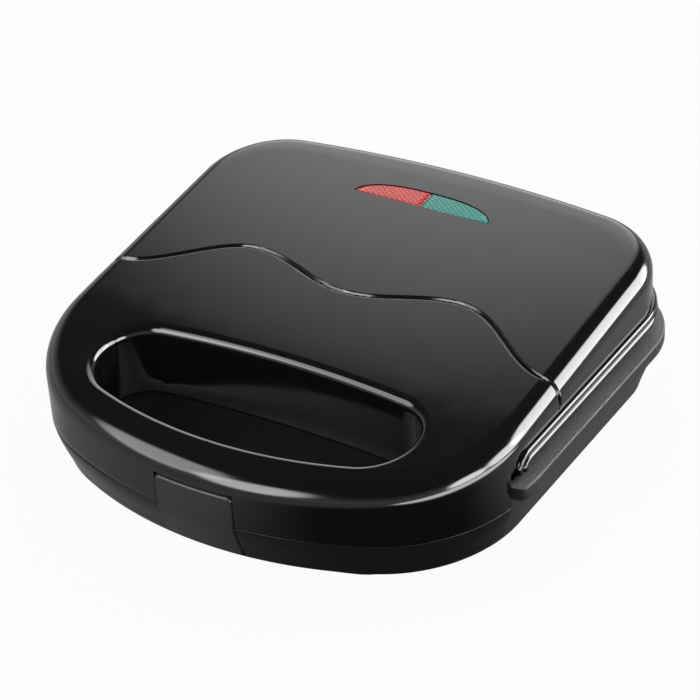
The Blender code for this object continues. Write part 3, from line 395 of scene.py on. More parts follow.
# Sheet and bar metals: a colour drift, and fine streaks along X
def drawnMetal(name, look):
    roughness = look["roughness"]
    material, tree, shader, place = newFinish(name, roughness, 1.0)
    drift = noiseField(tree, place, drawing["drift"], 3)
    drawn = addNode(tree, "Mapping", {"Vector": place, "Scale": drawing["streaks"]})["Vector"]
    streaks = noiseField(tree, drawn, 1.0)
    spread = mapField(tree, streaks, roughness * drawing["smoothest"], roughness * drawing["roughest"])
    fill(tree, shader, {"Base Color": mixColours(tree, drift, look["dark"], look["light"]),
                        "Roughness": spread})
    addBump(tree, shader, streaks, drawing["strength"], drawing["depth"])
    return material


grainedLooks = {
    "clipPlastic": {"dark": (0.020, 0.020, 0.021), "light": (0.030, 0.030, 0.031), "roughness": 0.38,
                    "scale": 1500, "detail": 2, "strength": 0.4, "depth": 0.00003},
    "rubber": {"dark": (0.016, 0.016, 0.016), "light": (0.030, 0.030, 0.030), "roughness": 0.75,
               "scale": 1400, "detail": 3, "strength": 0.5, "depth": 0.00004},
    "ceramic": {"dark": (0.72, 0.71, 0.67), "light": (0.84, 0.83, 0.80), "roughness": 0.60,
                "scale": 900, "detail": 3, "strength": 0.5, "depth": 0.00003},
    "holderPlastic": {"dark": (0.70, 0.69, 0.65), "light": (0.80, 0.79, 0.76), "roughness": 0.48,
                      "scale": 700, "detail": 3, "strength": 0.5, "depth": 0.00002},
}


# Dull grained stuff: the satin clip, rubber, ceramic and the moulded holder
def grainedStuff(name, look):
    material, tree, shader, place = newFinish(name, look["roughness"])
    grain = noiseField(tree, place, look["scale"], look["detail"])
    fill(tree, shader, {"Base Color": mixColours(tree, grain, look["dark"], look["light"])})
    addBump(tree, shader, grain, look["strength"], look["depth"])
    return material


glassLook = {
    "dark": (0.86, 0.80, 0.72), "light": (0.95, 0.93, 0.88), "tint": 120, "roughness": 0.05, "clear": 0.9,
}


def lampGlass():
    material, tree, shader, place = newFinish("lampGlass", glassLook["roughness"])
    tint = noiseField(tree, place, glassLook["tint"], 2)
    fill(tree, shader, {"Base Color": mixColours(tree, tint, glassLook["dark"], glassLook["light"]),
                        "Transmission Weight": glassLook["clear"]})
    return material


gloss = glossPlastic()
spark = sparkPlastic()
redPlastic = lensPlastic("redPlastic", *lensLook["red"])
greenPlastic = lensPlastic("greenPlastic", *lensLook["green"])
coating = plateCoating()
metals = {name: drawnMetal(name, look) for name, look in metalLooks.items()}
grained = {name: grainedStuff(name, look) for name, look in grainedLooks.items()}
clearGlass = lampGlass()
print("materials made")


lid = {
    "backHeight": 0.0808, "slope": 0.100, "crown": 0.0020, "noseFall": 0.0016, "noseStart": -0.030,
    "roundBack": 0.0085, "roundGrip": 0.0125, "roundStart": -0.020, "roundPower": 1.5, "roundPull": 0.5523,
    "lipReach": 0.0040, "lipDrop": 0.0050, "lipBeside": 0.0049, "slotGap": 0.0007, "linerWall": 0.0022,
    "grooveDepth": 0.0012, "grooveHalf": 0.00125, "grooveFlat": 0.00040, "grooveEnd": 0.0556,
}
wave = {"valley": 0.0065, "hump": 0.0188, "end": -0.0085, "humpSide": 0.050, "endSide": 0.1045}


# Height of the lid's top: a slope to the front, less the square of how far the nose has begun, less a crown
def lidTop(x, y):
    nose = np.clip((lid["noseStart"] - y) / (lid["noseStart"] - bodyPlan["front"]), 0, 1)
    crown = lid["crown"] * (x / bodyPlan["side"]) ** 2
    slope = lid["slope"] * (bodyPlan["back"] - y)
    return lid["backHeight"] - slope - lid["noseFall"] * nose ** 2 - crown


def lidRow(plan, rise=0.0):
    return row(plan, lidTop(*plan.T) + rise)


# Radius of the edge rounding: it grows by a power of the way toward the grip
def lidRound(y):
    share = np.clip((lid["roundStart"] - y) / (lid["roundStart"] - bodyPlan["front"]), 0, 1)
    return lid["roundBack"] + (lid["roundGrip"] - lid["roundBack"]) * share ** lid["roundPower"]


# Line of the wave: half a cosine from the valley up to a hump, then half a cosine down to the lid's side
def waveLine(x):
    reach = np.abs(x)
    climb = wave["hump"] - wave["valley"]
    inner = wave["valley"] + climb * (1 - np.cos(np.pi * reach / wave["humpSide"])) / 2
    run = np.clip((reach - wave["humpSide"]) / (wave["endSide"] - wave["humpSide"]), 0, 1)
    outer = wave["hump"] + (wave["end"] - wave["hump"]) * (1 - np.cos(np.pi * run)) / 2
    return np.where(reach < wave["humpSide"], inner, outer)


# Distance to the wave line in plan: the gap along Y over the line's steepness
def waveDistance(x, y):
    tiny = 0.00002
    steep = (waveLine(x + tiny) - waveLine(x - tiny)) / (2 * tiny)
    return (y - waveLine(x)) / np.sqrt(1 + steep ** 2)


# Depth of the groove: a raised cosine across it, with a round end on the side wall
def grooveDip(points):
    across = waveDistance(points[..., 0], points[..., 1])
    past = np.clip(lid["grooveEnd"] - points[..., 2], 0, None)
    distance = np.sqrt(across ** 2 + past ** 2)
    share = np.clip((distance - lid["grooveFlat"]) / (lid["grooveHalf"] - lid["grooveFlat"]), 0, 1)
    return lid["grooveDepth"] * (1 + np.cos(np.pi * share)) / 2


# How the rings are spaced: runs in metres for each stretch, and where the body's ring meets the slot's
rings = {
    "spacing": (0.0013, 0.0015, 0.00022, 0.0016, 0.0009, 0.0020), "hair": 0.000006,
    "grooveReach": 0.0022, "cornerFrom": 0.0640, "cornerTo": 0.0985,
    "cornerMeets": -0.080, "sideMeets": -0.046, "backMeets": 0.0670,
}


# Runs along the body's right half: fine at the groove's end and the back corner, and a hair off the step's
# either side
def bodyRuns():
    turns = (levels["stepY"], wave["end"] - rings["grooveReach"], wave["end"] + rings["grooveReach"],
             rings["cornerFrom"], rings["cornerTo"])
    marks = [0.0, *(runAtY(y) for y in turns), bodyHalf["run"][-1]]
    starts, ends = np.array(marks[:-1]), np.array(marks[1:])
    ends[0] -= rings["hair"]
    starts[1] += rings["hair"]
    runs = []
    for start, end, spacing in zip(starts, ends, rings["spacing"]):
        whole = start == starts[0] or end == ends[-1]
        runs.append(np.linspace(start, end, max(2, int((end - start) / spacing)) + 1, endpoint=whole))
    return np.concatenate(runs)


# Each point of the body's ring is paired with one of the slot's ring, so that no two lines cross
def bothRings():
    runs = bodyRuns()
    slotRun = slotHalf["run"]
    arc = len(slotRun) // 4
    body = [0.0, *(runAtY(rings[meeting]) for meeting in ("cornerMeets", "sideMeets", "backMeets")),
            bodyHalf["run"][-1]]
    slot = [0.0, slotRun[arc + arc // 2], slotRun[2 * arc], slotRun[3 * arc - 1], slotRun[-1]]
    return runs, wholeRing(bodyHalf, runs), wholeRing(slotHalf, np.interp(runs, body, slot))


# The top's rows: two beside the lip, even ones, a band across the groove and even ones to the rounding
topGrid = {
    "besideLip": (0.012, 0.03), "before": 11, "across": 17, "after": 13, "band": 1.5, "leastSteep": 0.35,
    "fineSteps": 900, "window": 5, "pull": 0.4, "pullReach": 0.03, "leastStep": 0.0004,
}


# Shares of the way from the lip to the rounding at which the top has its rows: each line's own crossing
# with the wave is found on fine steps, and the band keeps to the groove's width across the wave
def topShares(start, rim, runs):
    reach = np.linalg.norm(rim - start, axis=1)
    fine = np.linspace(0, 1, topGrid["fineSteps"])
    line = start[:, None] + (rim - start)[:, None] * fine[:, None]
    gap = waveDistance(line[..., 0], line[..., 1])
    crosses = gap[:, -1] > 0
    place = np.argmax(gap > 0, axis=1)
    each, window = np.arange(len(start)), topGrid["window"]
    rise = gap[each, np.minimum(place + window, len(fine) - 1)] - gap[each, np.maximum(place - window, 0)]
    steepness = np.where(crosses, rise / (2 * window * fine[1]), reach)
    band = topGrid["band"] * lid["grooveHalf"] / np.maximum(steepness, topGrid["leastSteep"] * reach)
    sideRun = np.abs(np.concatenate([runs, runs[-2:0:-1]]) - runAtY(wave["end"]))
    pulled = 1 - topGrid["pull"] * np.clip(sideRun / topGrid["pullReach"], 0, 1)
    crossing = np.where(crosses, fine[place], pulled)
    before, after = crossing - band, crossing + band
    shares = [share * before for share in topGrid["besideLip"]]
    shares += [share * before for share in np.linspace(0, 1, topGrid["before"] + 1)[1:-1]]
    shares += [crossing + band * share for share in np.linspace(-1, 1, topGrid["across"])]
    shares += [after + (1 - after) * share for share in np.linspace(0, 1, topGrid["after"] + 1)[1:-1]]
    remaining = np.arange(len(shares), 0, -1)[:, None]
    return np.minimum(np.array(shares), 1 - topGrid["leastStep"] * remaining)


# Edge rounding: a cubic curve from the top's slope to the plumb wall, all lengths times the radius.
# It gives the places out and up from the rim, and the parts of its normal out and up.
def edgeRound(share, radius, slope):
    keep, pull = 1 - share, lid["roundPull"]
    bent = pull * (1 + slope)
    first, second, third = 3 * keep ** 2 * share, 3 * keep * share ** 2, share ** 3
    out = radius * (first * pull + second + third)
    rise = radius * (first * pull * slope - second * (1 - bent) - third)
    outSlope = keep ** 2 * pull + 2 * keep * share * (1 - pull)
    riseSlope = keep ** 2 * pull * slope - 2 * keep * share * (1 - bent + pull * slope) - share ** 2 * bent
    size = np.hypot(outSlope, riseSlope)
    return out, rise, -riseSlope / size, outSlope / size


def cutChannel(piece):
    reach = bodyPlan["side"] + hinge["channelPast"]
    cutAway(piece, rod(-reach, reach, hinge["channel"], 0, hinge["axis"], 64))


# Upper shell. Across: from the slot wall's foot over the lip, the top, the edge rounding and down the wall,
# then back along the inside. Along: round the body.
def buildUpperSkin():
    runs, body, slot = bothRings()
    facing = body[1]
    soft, wall = levels["softEdge"], levels["wall"]
    foot = levels["gripLidBottom"] + lid["slotGap"]
    low = np.where(body[0][:, 1] < levels["stepY"], levels["gripLidBottom"], levels["beadBottom"])
    edge = ((soft, 0.0), (soft * 0.3, soft * 0.3), (0.0, soft))
    rows = [row(moved(slot, out), foot + rise) for out, rise in edge]
    lipStart = lidTop(*slot[0].T) - lid["lipDrop"]
    rows += [row(slot[0], foot + soft + (lipStart - foot - soft) * share) for share in (0.25, 0.5, 0.75)]
    rows += [lidRow(moved(slot, lid["lipReach"] * across), -lid["lipDrop"] * left)
             for across, left in roundShares(11)]
    rows += [lidRow(moved(slot, out)) for out in np.linspace(lid["lipReach"], lid["lipBeside"], 9)[1:]]

    radius = lidRound(body[0][:, 1])
    start, rim = moved(slot, lid["lipBeside"]), moved(body, -radius)
    shares = topShares(start, rim, runs)
    topStart, roundStart = len(rows), len(rows) + len(shares)
    rows += [lidRow(start + (rim - start) * share[:, None]) for share in shares]
    normals = [(0.0, 1.0)] * len(shares)

    hair = 0.0001
    ahead, behind = (lidTop(*moved((rim, facing), way * hair).T) for way in (1, -1))
    rimHeight = lidTop(*rim.T)
    for share in np.linspace(0, 1, 15):
        out, rise, outNormal, upNormal = edgeRound(share, radius, (ahead - behind) / (2 * hair))
        rows.append(row(moved((rim, facing), out), rimHeight + rise))
        normals.append((outNormal, upNormal))
    wallTop = rimHeight - radius
    for share in (0.12, 0.22, *np.linspace(0.30, 0.52, 13), 0.6, 0.72, 0.86, 1.0):
        rows.append(row(body[0], wallTop + (low + soft - wallTop) * share))
        normals.append((1.0, 0.0))

    for out, height in ((-soft * 0.3, low + soft * 0.3), (-soft, low), (soft - wall, low),
                        (-wall, low + soft), (-wall, low + (wallTop - low) * 0.6)):
        rows.append(row(moved(body, out), height))
    for index in (14, 11, 8, 5, 2, 0):  # of the rounding's 15 rows, from the wall up
        outer = rows[roundStart + index]
        outNormal, upNormal = normals[len(shares) + index]
        rows.append(row(moved((outer[:, :2], facing), -outNormal * wall), outer[:, 2] - upNormal * wall))
    liner = moved(slot, lid["linerWall"])
    rows += [lidRow(liner + (rim - liner) * share, -wall) for share in (0.75, 0.5, 0.25, 0.06, 0.0)]
    linerTop = lidTop(*liner.T) - wall
    rows += [row(liner, linerTop + (foot + soft - linerTop) * share) for share in (0.5, 1.0)]
    rows.append(row(moved(slot, lid["linerWall"] - soft), foot))

    grid = np.stack(rows, 1)
    dip = grooveDip(grid)
    for column, (outNormal, upNormal) in enumerate(normals, topStart):
        grid[:, column, :2] -= facing * (outNormal * dip[:, column])[:, None]
        grid[:, column, 2] -= upNormal * dip[:, column]
    skin = gridPiece("upperSkin", grid, gloss, sharp=40)
    cutChannel(skin)
    cutAway(skin, slab(halfMoon(lens["gap"]), *lens["cutZ"], 2))
    cutAway(skin, slab(clipOutline(clip["gap"], clip["cutDrop"]), *clip["cutY"], 1))
    swing = (clip["eye"] - clip["topRound"]) * math.sqrt(2) + clip["topRound"] + clip["gap"]
    half = clip["half"] + clip["gap"]
    cutAway(skin, rod(-half, half, swing, 0, clip["pivot"]))
    return finishMesh(skin, gloss, 40)


lens = {
    "half": 0.0330, "chord": 0.0712, "bulge": 0.0100, "blunt": 2.7, "root": 0.52, "tip": 0.0006,
    "tipInset": 0.0005, "least": 0.0007, "proud": -0.0004, "edge": 0.00035, "skirt": 0.0030,
    "middleGap": 0.00012, "middleX": 0.014, "middleY": 0.0042, "gap": 0.00035, "cutZ": (0.060, 0.090),
}


# Half-moon window: a chord along X under an arch with blunt ends, whose height is the bulge times the
# root of one less the share of the half width to a power
def halfMoon(grow):
    half, bulge, chord = lens["half"] + grow, lens["bulge"] + 2 * grow, lens["chord"] - grow
    x = np.cos(np.linspace(0.0, math.pi, 97)[1:-1])
    arch = chord + bulge * (1 - np.abs(x) ** lens["blunt"]) ** lens["root"]
    tip = np.array([[half, chord + lens["tip"]]])
    arc = np.stack([half * x, np.maximum(arch, chord + lens["least"])], 1)
    foot = half - lens["tipInset"]
    return np.vstack([tip, arc, tip * mirrored, [[-foot, chord], [foot, chord]]])


# Half a lens: its outline drawn in ring by ring to the middle, over a short skirt
def buildLens(name, sign, material):
    whole = halfMoon(0.0)
    cut = sign * lens["middleGap"]
    ring = np.vstack([whole[whole[:, 0] * sign > lens["middleGap"]],
                      [[cut, lens["chord"] + lens["bulge"]], [cut, lens["chord"]]]])
    middle = np.array([sign * lens["middleX"], lens["chord"] + lens["middleY"]])
    ring = ring[np.argsort(np.arctan2(ring[:, 1] - middle[1], ring[:, 0] - middle[0]))]
    proud, edge = lens["proud"], lens["edge"]
    steps = [(1.0, -lens["skirt"]), (1.0, proud - edge), (0.996, proud - edge * 0.4)]
    steps += [(share, proud) for share in (0.985, 0.8, 0.5, 0.15)]
    rows = [lidRow(middle + (ring - middle) * share, rise) for share, rise in steps]
    return gridPiece(name, np.stack(rows, 0), material, capped=True, sharp=50)


clip = {
    "half": 0.0181, "gap": 0.0005, "proud": 0.0005, "thick": 0.0026, "top": 0.0466, "foot": 0.0155,
    "topRound": 0.0016, "corner": 0.0020, "eye": 0.0039, "edge": 0.0005, "nib": 0.0009,
    "parting": 0.0320, "lean": 0.0052, "leanEnd": 0.0145, "leanPower": 1.4,
    "cutDrop": -0.010, "cutY": (-0.125, -0.1035),
}
clip["front"] = bodyPlan["front"] - clip["proud"]
clip["pivot"] = (clip["front"] + clip["eye"], clip["top"] - clip["eye"])
clip["footLean"] = clip["lean"] * (clip["parting"] - clip["foot"]) / (clip["parting"] - clip["leanEnd"])


# The clip's face outline in X and Z: straight sides, two rounded top corners
def clipOutline(grow, drop):
    side, top, corner = clip["half"] + grow, clip["top"] + grow, clip["corner"] + grow
    right = arcPoints((side - corner, top - corner), corner, 0, quarter, 9)
    foot = clip["foot"] + drop
    return np.vstack([[[side, foot]], right, right[::-1] * mirrored, [[-side, foot]]])


# How far a rounded edge falls back where only part of its radius is left before the end
def roundedFall(radius, spare):
    return radius - math.sqrt(max(radius ** 2 - max(radius - spare, 0) ** 2, 0))


# Clip: a section in Y and Z carried along X, bowed like the grip's front, its ends drawn in to a soft edge
def buildClip():
    front, foot, eye, thick, nib = (clip[key] for key in ("front", "foot", "eye", "thick", "nib"))
    topRound, pivotZ = clip["topRound"], clip["pivot"][1]
    topArc = arcPoints((front + topRound, clip["top"] - topRound), topRound, math.pi, quarter, 7)
    eyeArc = arcPoints(clip["pivot"], eye, quarter, -quarter, 17)
    share = np.linspace(0, 1, 14)
    face = np.stack([front + clip["footLean"] * share ** clip["leanPower"],
                     clip["parting"] - (clip["parting"] - foot) * share], 1)
    back = face + np.array([thick, 0.0])
    end = back[-1, 0]
    catch = np.array([[end + nib / 2, foot + thick], [end + nib, foot + nib]])
    behind = np.array([[front + thick, pivotZ - eye - nib]])
    section = np.vstack([topArc, eyeArc[1:], behind, back[:-1], catch, face[::-1]])
    along = np.roll(section, -1, 0) - np.roll(section, 1, 0)
    normal = np.stack([-along[:, 1], along[:, 0]], 1)
    normal /= np.linalg.norm(normal, axis=1)[:, None]
    half, corner = clip["half"], clip["corner"]
    fine = half - corner * (1 - np.sin(np.linspace(0, quarter, 12)))
    sides = np.concatenate([np.linspace(0, half - corner, 12)[:-1], fine])
    rows = []
    for side in np.concatenate([-sides[:0:-1], sides]):
        ring = section - normal * roundedFall(clip["edge"], half - abs(side))
        over = np.clip((ring[:, 1] - pivotZ) / (clip["top"] - pivotZ), 0, 1)
        bowed = ring[:, 0] + side ** 2 / (2 * bodyPlan["frontBow"])
        heights = ring[:, 1] - roundedFall(corner, half - abs(side)) * over
        rows.append(np.column_stack([np.full(len(ring), side), bowed, heights]))
    return gridPiece("clip", np.stack(rows, 0), grained["clipPlastic"], capped=True, sharp=45)


bead = {
    "root": -0.0012, "reach": 0.0023, "upperReach": 0.0019, "height": 0.0064, "valley": 66,
    "turnRadius": 0.0012, "turnAhead": 0.0032, "legEnd": 0.0457,
}


# Double bead: two round ridges side by side carried round the lid's lower edge, with a quarter turn
# down at each front end; the section's height runs out from the turn's centre
def buildBead():
    valley = math.radians(bead["valley"])
    ridge, bottom, bend = bead["height"] / 4, levels["beadBottom"], bead["turnRadius"]
    lower = arcPoints((bead["reach"] - ridge, ridge), ridge, -quarter, valley, 13)
    upper = arcPoints((bead["upperReach"] - ridge, ridge * 3), ridge, -valley, quarter, 13)
    section = np.vstack([[[bead["root"], 0.0]], lower, upper, [[bead["root"], bead["height"]]]])
    out, spread = section[:, 0], bend + section[:, 1]
    turnY = levels["stepY"] + bead["height"] + bend + bead["turnAhead"]
    stations = [(runAtY(turnY - spread), bead["legEnd"])]
    for turn in np.linspace(math.pi, quarter, 18):
        stations.append((runAtY(turnY + spread * math.cos(turn)), bottom - bend + spread * math.sin(turn)))
    marks = [*(runAtY(y) for y in (turnY, rings["cornerFrom"], rings["cornerTo"])), bodyHalf["run"][-1]]
    runs = [np.linspace(marks[part], marks[part + 1], count, endpoint=part == 2)
            for part, count in enumerate((40, 48, 30))]
    stations += [(run, bottom + section[:, 1]) for run in np.concatenate(runs)[1:]]
    rows = []
    for run, height in stations:
        place, facing = alongHalf(bodyHalf, run)
        rows.append(row(place + facing * out[:, None], height))
    right = np.stack(rows, 0)
    whole = np.concatenate([right, right[-2::-1] * np.array([-1, 1, 1])], 0)
    made = gridPiece("beadTrim", whole, gloss, capped=True, sharp=40)
    cutChannel(made)
    return finishMesh(made, gloss, 40)


hinge = {
    "axis": (0.1048, 0.04565), "channel": 0.0065, "channelPast": 0.02, "knuckle": 0.0052, "side": 0.062,
    "bore": 0.0022, "bevel": 0.0004, "lidHalf": 0.0060, "gap": 0.0003, "baseWidth": 0.0080,
    "armBack": 0.0010, "armFront": 0.0048, "armPast": 0.0002, "armFoot": (0.0030, 0.0045),
    "lidArm": 0.0110, "baseArm": 0.0100,
}


# Hinge half: a bored knuckle round the axis and an arm into the shell, for each range along X
def hingeSolids(ranges, way, armReach):
    radius, bore, bevel = hinge["knuckle"], hinge["bore"], hinge["bevel"]
    y, z = hinge["axis"]
    near, inner, far = y - hinge["armFront"], y - bore - hinge["armPast"], y + hinge["armBack"]
    innerFoot, farFoot = hinge["armFoot"]
    arm = [(near, 0.0), (inner, 0.0), (inner, innerFoot), (far, farFoot), (far, armReach), (near, armReach)]
    solids = []
    for start, end in ranges:
        profile = [(start, radius - bevel), (start + bevel, radius), (end - bevel, radius),
                   (end, radius - bevel), (end, bore), (start, bore)]
        solids.append(turned(profile, 0, hinge["axis"], 48, hollow=True))
        solids.append(slab([(place, z + way * rise) for place, rise in arm], start, end, 0))
    return solids


def lidRanges():
    half = hinge["lidHalf"]
    return [(side - half, side + half) for side in (-hinge["side"], hinge["side"])]


def baseRanges():
    inner = hinge["lidHalf"] + hinge["gap"]
    outer = inner + hinge["baseWidth"]
    ranges = []
    for side in (-hinge["side"], hinge["side"]):
        ranges += [(side - outer, side - inner), (side + inner, side + outer)]
    return ranges


inside = {
    "edge": 0.00025, "sunk": 0.0004, "bevel": 0.0004,
    "webLid": (-0.0500, -0.0475), "webBase": (-0.0472, -0.0447), "webStart": 0.0740, "webBaseStart": 0.0765,
    "webInset": 0.0013, "webUnder": 0.0016, "webFloor": 0.0010, "webTop": 0.0001,
    "webSteps": ((0.0066, 0.0148), (0.0034, 0.0232), (0.0012, 0.0320)),
    "studSide": 0.0560, "studRows": (0.0, 0.0498), "studRadius": 0.0030, "studDrop": 0.0045,
    "studBevel": 0.0003,
    "restRows": (0.0, 0.0760), "restGap": 0.0003, "postSide": 0.0860, "postRows": (-0.0180, 0.0735),
    "postRadius": 0.0050, "postFloor": 0.0006, "postTop": 0.02987,
    "screwHole": 0.0018, "screwHead": 0.0036, "screwShoulder": 0.0125, "screwRange": (0.0080, 0.0118),
    "stemHole": 0.0026, "stemRange": (0.0080, 0.0140), "footSide": 0.0740, "footRows": (-0.0190, 0.0785),
    "outletHeight": 0.0255, "outlet": 0.0048, "outletEnd": 0.115, "collar": 0.0070,
    "collarRange": (0.0943, 0.1036),
    "cheek": 0.0040, "cheekDepth": 0.0030, "cheekDrop": 0.0045, "cheekRise": 0.0035, "pinHole": 0.0014,
    "backing": 0.0022, "pocketLean": 0.12, "pocketFront": -0.125, "pocketOver": 0.004, "trayFloor": 0.0102,
    "traySteps": ((0.0014, 0.03175), (0.0036, 0.0232), (0.0066, 0.0148), (0.0104, 0.0116)),
}


# Webs that close the lid's grip toward the plates: a flat wall whose top follows the lid's underside
def lidWebSolids():
    y = inside["webLid"][0]
    wallSide, radius = bodySide(y), lidRound(y)
    side = np.linspace(inside["webStart"], wallSide - inside["webInset"], 16)
    past = np.clip(side - (wallSide - radius), 0, radius * 0.999)
    rim = lidTop(np.minimum(side, wallSide - radius), y)
    top = rim - radius + np.sqrt(radius ** 2 - past ** 2) - inside["webUnder"]
    foot = levels["gripLidBottom"] + inside["sunk"]
    outline = np.vstack([[[side[-1], foot]], np.column_stack([side, top])[::-1], [[side[0], foot]]])
    return [slab(outline * (sign, 1), *inside["webLid"], 1) for sign in (1, -1)]


def studSolids():
    solids = []
    radius, bevel = inside["studRadius"], inside["studBevel"]
    for x, y in bothSides(inside["studSide"], inside["studRows"]):
        low = lidTop(x, y + radius) - inside["studDrop"]
        high = lidTop(x, y) - levels["wall"] / 2
        solids.append(turned([(low, radius - bevel), (low + bevel, radius), (high, radius)], 2, (x, y)))
    return solids


# Cheeks beside the clip's eye that hold its pin
def cheekSolids():
    solids = []
    y, z = clip["pivot"]
    start = clip["half"] + clip["gap"]
    end = start + inside["cheek"]
    front = bodyPlan["front"] + levels["wall"] / 2 + end ** 2 / (2 * bodyPlan["frontBow"])
    back, low, high = y + inside["cheekDepth"], z - inside["cheekDrop"], z + inside["cheekRise"]
    outline = [(front, low), (back, low), (back, high), (front, high)]
    for sign in signs:
        cheek = slab(outline, *sorted((sign * start, sign * end)), 0)
        cutAway(cheek, rod(-2 * end, 2 * end, inside["pinHole"], 0, clip["pivot"], 24))
        solids.append(cheek)
    return solids


def baseWebSolids():
    side = bodySide(inside["webBase"][0])
    start, floor = inside["webBaseStart"], levels["floorBottom"] + inside["webFloor"]
    top = levels["flangeTop"] - inside["webTop"]
    steps = [(side - inset, height) for inset, height in inside["webSteps"]]
    outline = np.array([(start, floor), (side - base["floorInset"], floor), *steps, (steps[-1][0], top),
                        (start, top)])
    return [slab(outline * (sign, 1), *inside["webBase"], 1) for sign in signs]


# Bored posts under the plate and plain rests under the reflector
def postSolids():
    floor = levels["floorBottom"] + inside["postFloor"]
    top, radius, bevel = inside["postTop"], inside["postRadius"], inside["bevel"]
    hole, head, shoulder = inside["screwHole"], inside["screwHead"], inside["screwShoulder"]
    post = [(floor, radius), (top - bevel, radius), (top, radius - bevel), (top, hole), (shoulder, hole),
            (shoulder, head), (floor, head)]
    solids = [turned(post, 2, place, hollow=True)
              for place in bothSides(inside["postSide"], inside["postRows"])]
    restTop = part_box("lower_reflector")[0][2] - inside["restGap"]
    radius, bevel = inside["studRadius"], inside["studBevel"]
    rest = [(floor, radius), (restTop - bevel, radius), (restTop, radius - bevel)]
    return solids + [turned(rest, 2, place) for place in bothSides(inside["studSide"], inside["restRows"])]


def collarSolid():
    start, end = inside["collarRange"]
    radius, bevel = inside["collar"], inside["bevel"]
    profile = [(start, radius - bevel), (start + bevel, radius), (end, radius), (end, inside["outlet"]),
               (start, inside["outlet"])]
    return turned(profile, 1, (0.0, inside["outletHeight"]), 48, hollow=True)


# Back of the clip's pocket in the base at its foot: the clip's foot, the bow's depth and the pocket's lean
def pocketDepth():
    reach = clip["footLean"] + clip["nib"] + clip["gap"] + (1 + inside["pocketLean"]) * clip["thick"]
    return clip["front"] + reach + clip["half"] ** 2 / (2 * bodyPlan["frontBow"])


# The pocket leans out only as far as the clip swings up
def pocketCutter():
    low, high = clip["foot"] - 2 * clip["gap"], levels["gripBaseTop"] + inside["pocketOver"]
    deepest, front = pocketDepth(), inside["pocketFront"]
    half = clip["half"] + clip["gap"]
    lean = inside["pocketLean"] * (high - low)
    return slab([(front, low), (deepest, low), (deepest - lean, high), (front, high)], -half, half, 0)


# Tray behind the clip's pocket, its front kept within the base's wall
def pocketTray():
    back = pocketDepth() + inside["backing"]
    half = clip["half"] + clip["gap"] + inside["backing"]
    steps = [(bodyPlan["front"] + inset, height) for inset, height in inside["traySteps"]]
    tray = slab([(back, inside["trayFloor"]), (back, steps[0][1]), *steps], -half, half, 0)
    cutAway(tray, pocketCutter())
    return tray


base = {
    "tubeWall": 0.0048, "tubeShelf": 0.0026, "sideReach": 0.0054, "backReach": 0.0025,
    "flangeRound": 0.0009, "flangeStart": -0.0464, "flangeGrow": 0.0010, "floorRound": 0.0045,
    "floorInset": 0.0135, "edgeUnder": 1.9, "behindStep": 0.0003,
    "floorCurve": ((-0.0135, 0.0090), (-0.0114, 0.0098), (-0.0066, 0.0129), (-0.0052, 0.0145)),
    "wallCurve": ((-0.0052, 0.0145), (-0.0034, 0.0210), (-0.0004, 0.0262), (0.0, 0.0318)),
    "innerWall": ((0.0, 0.0290), (0.0052, 0.0160), (0.0115, 0.0115)),
}


# A point of a cubic curve: its four guide points weighed by the powers of the share and of what is left
def cubicPoint(guides, share):
    keep = 1 - share
    weights = (keep ** 3, 3 * keep ** 2 * share, 3 * keep * share ** 2, share ** 3)
    return np.array(weights) @ np.array(guides)


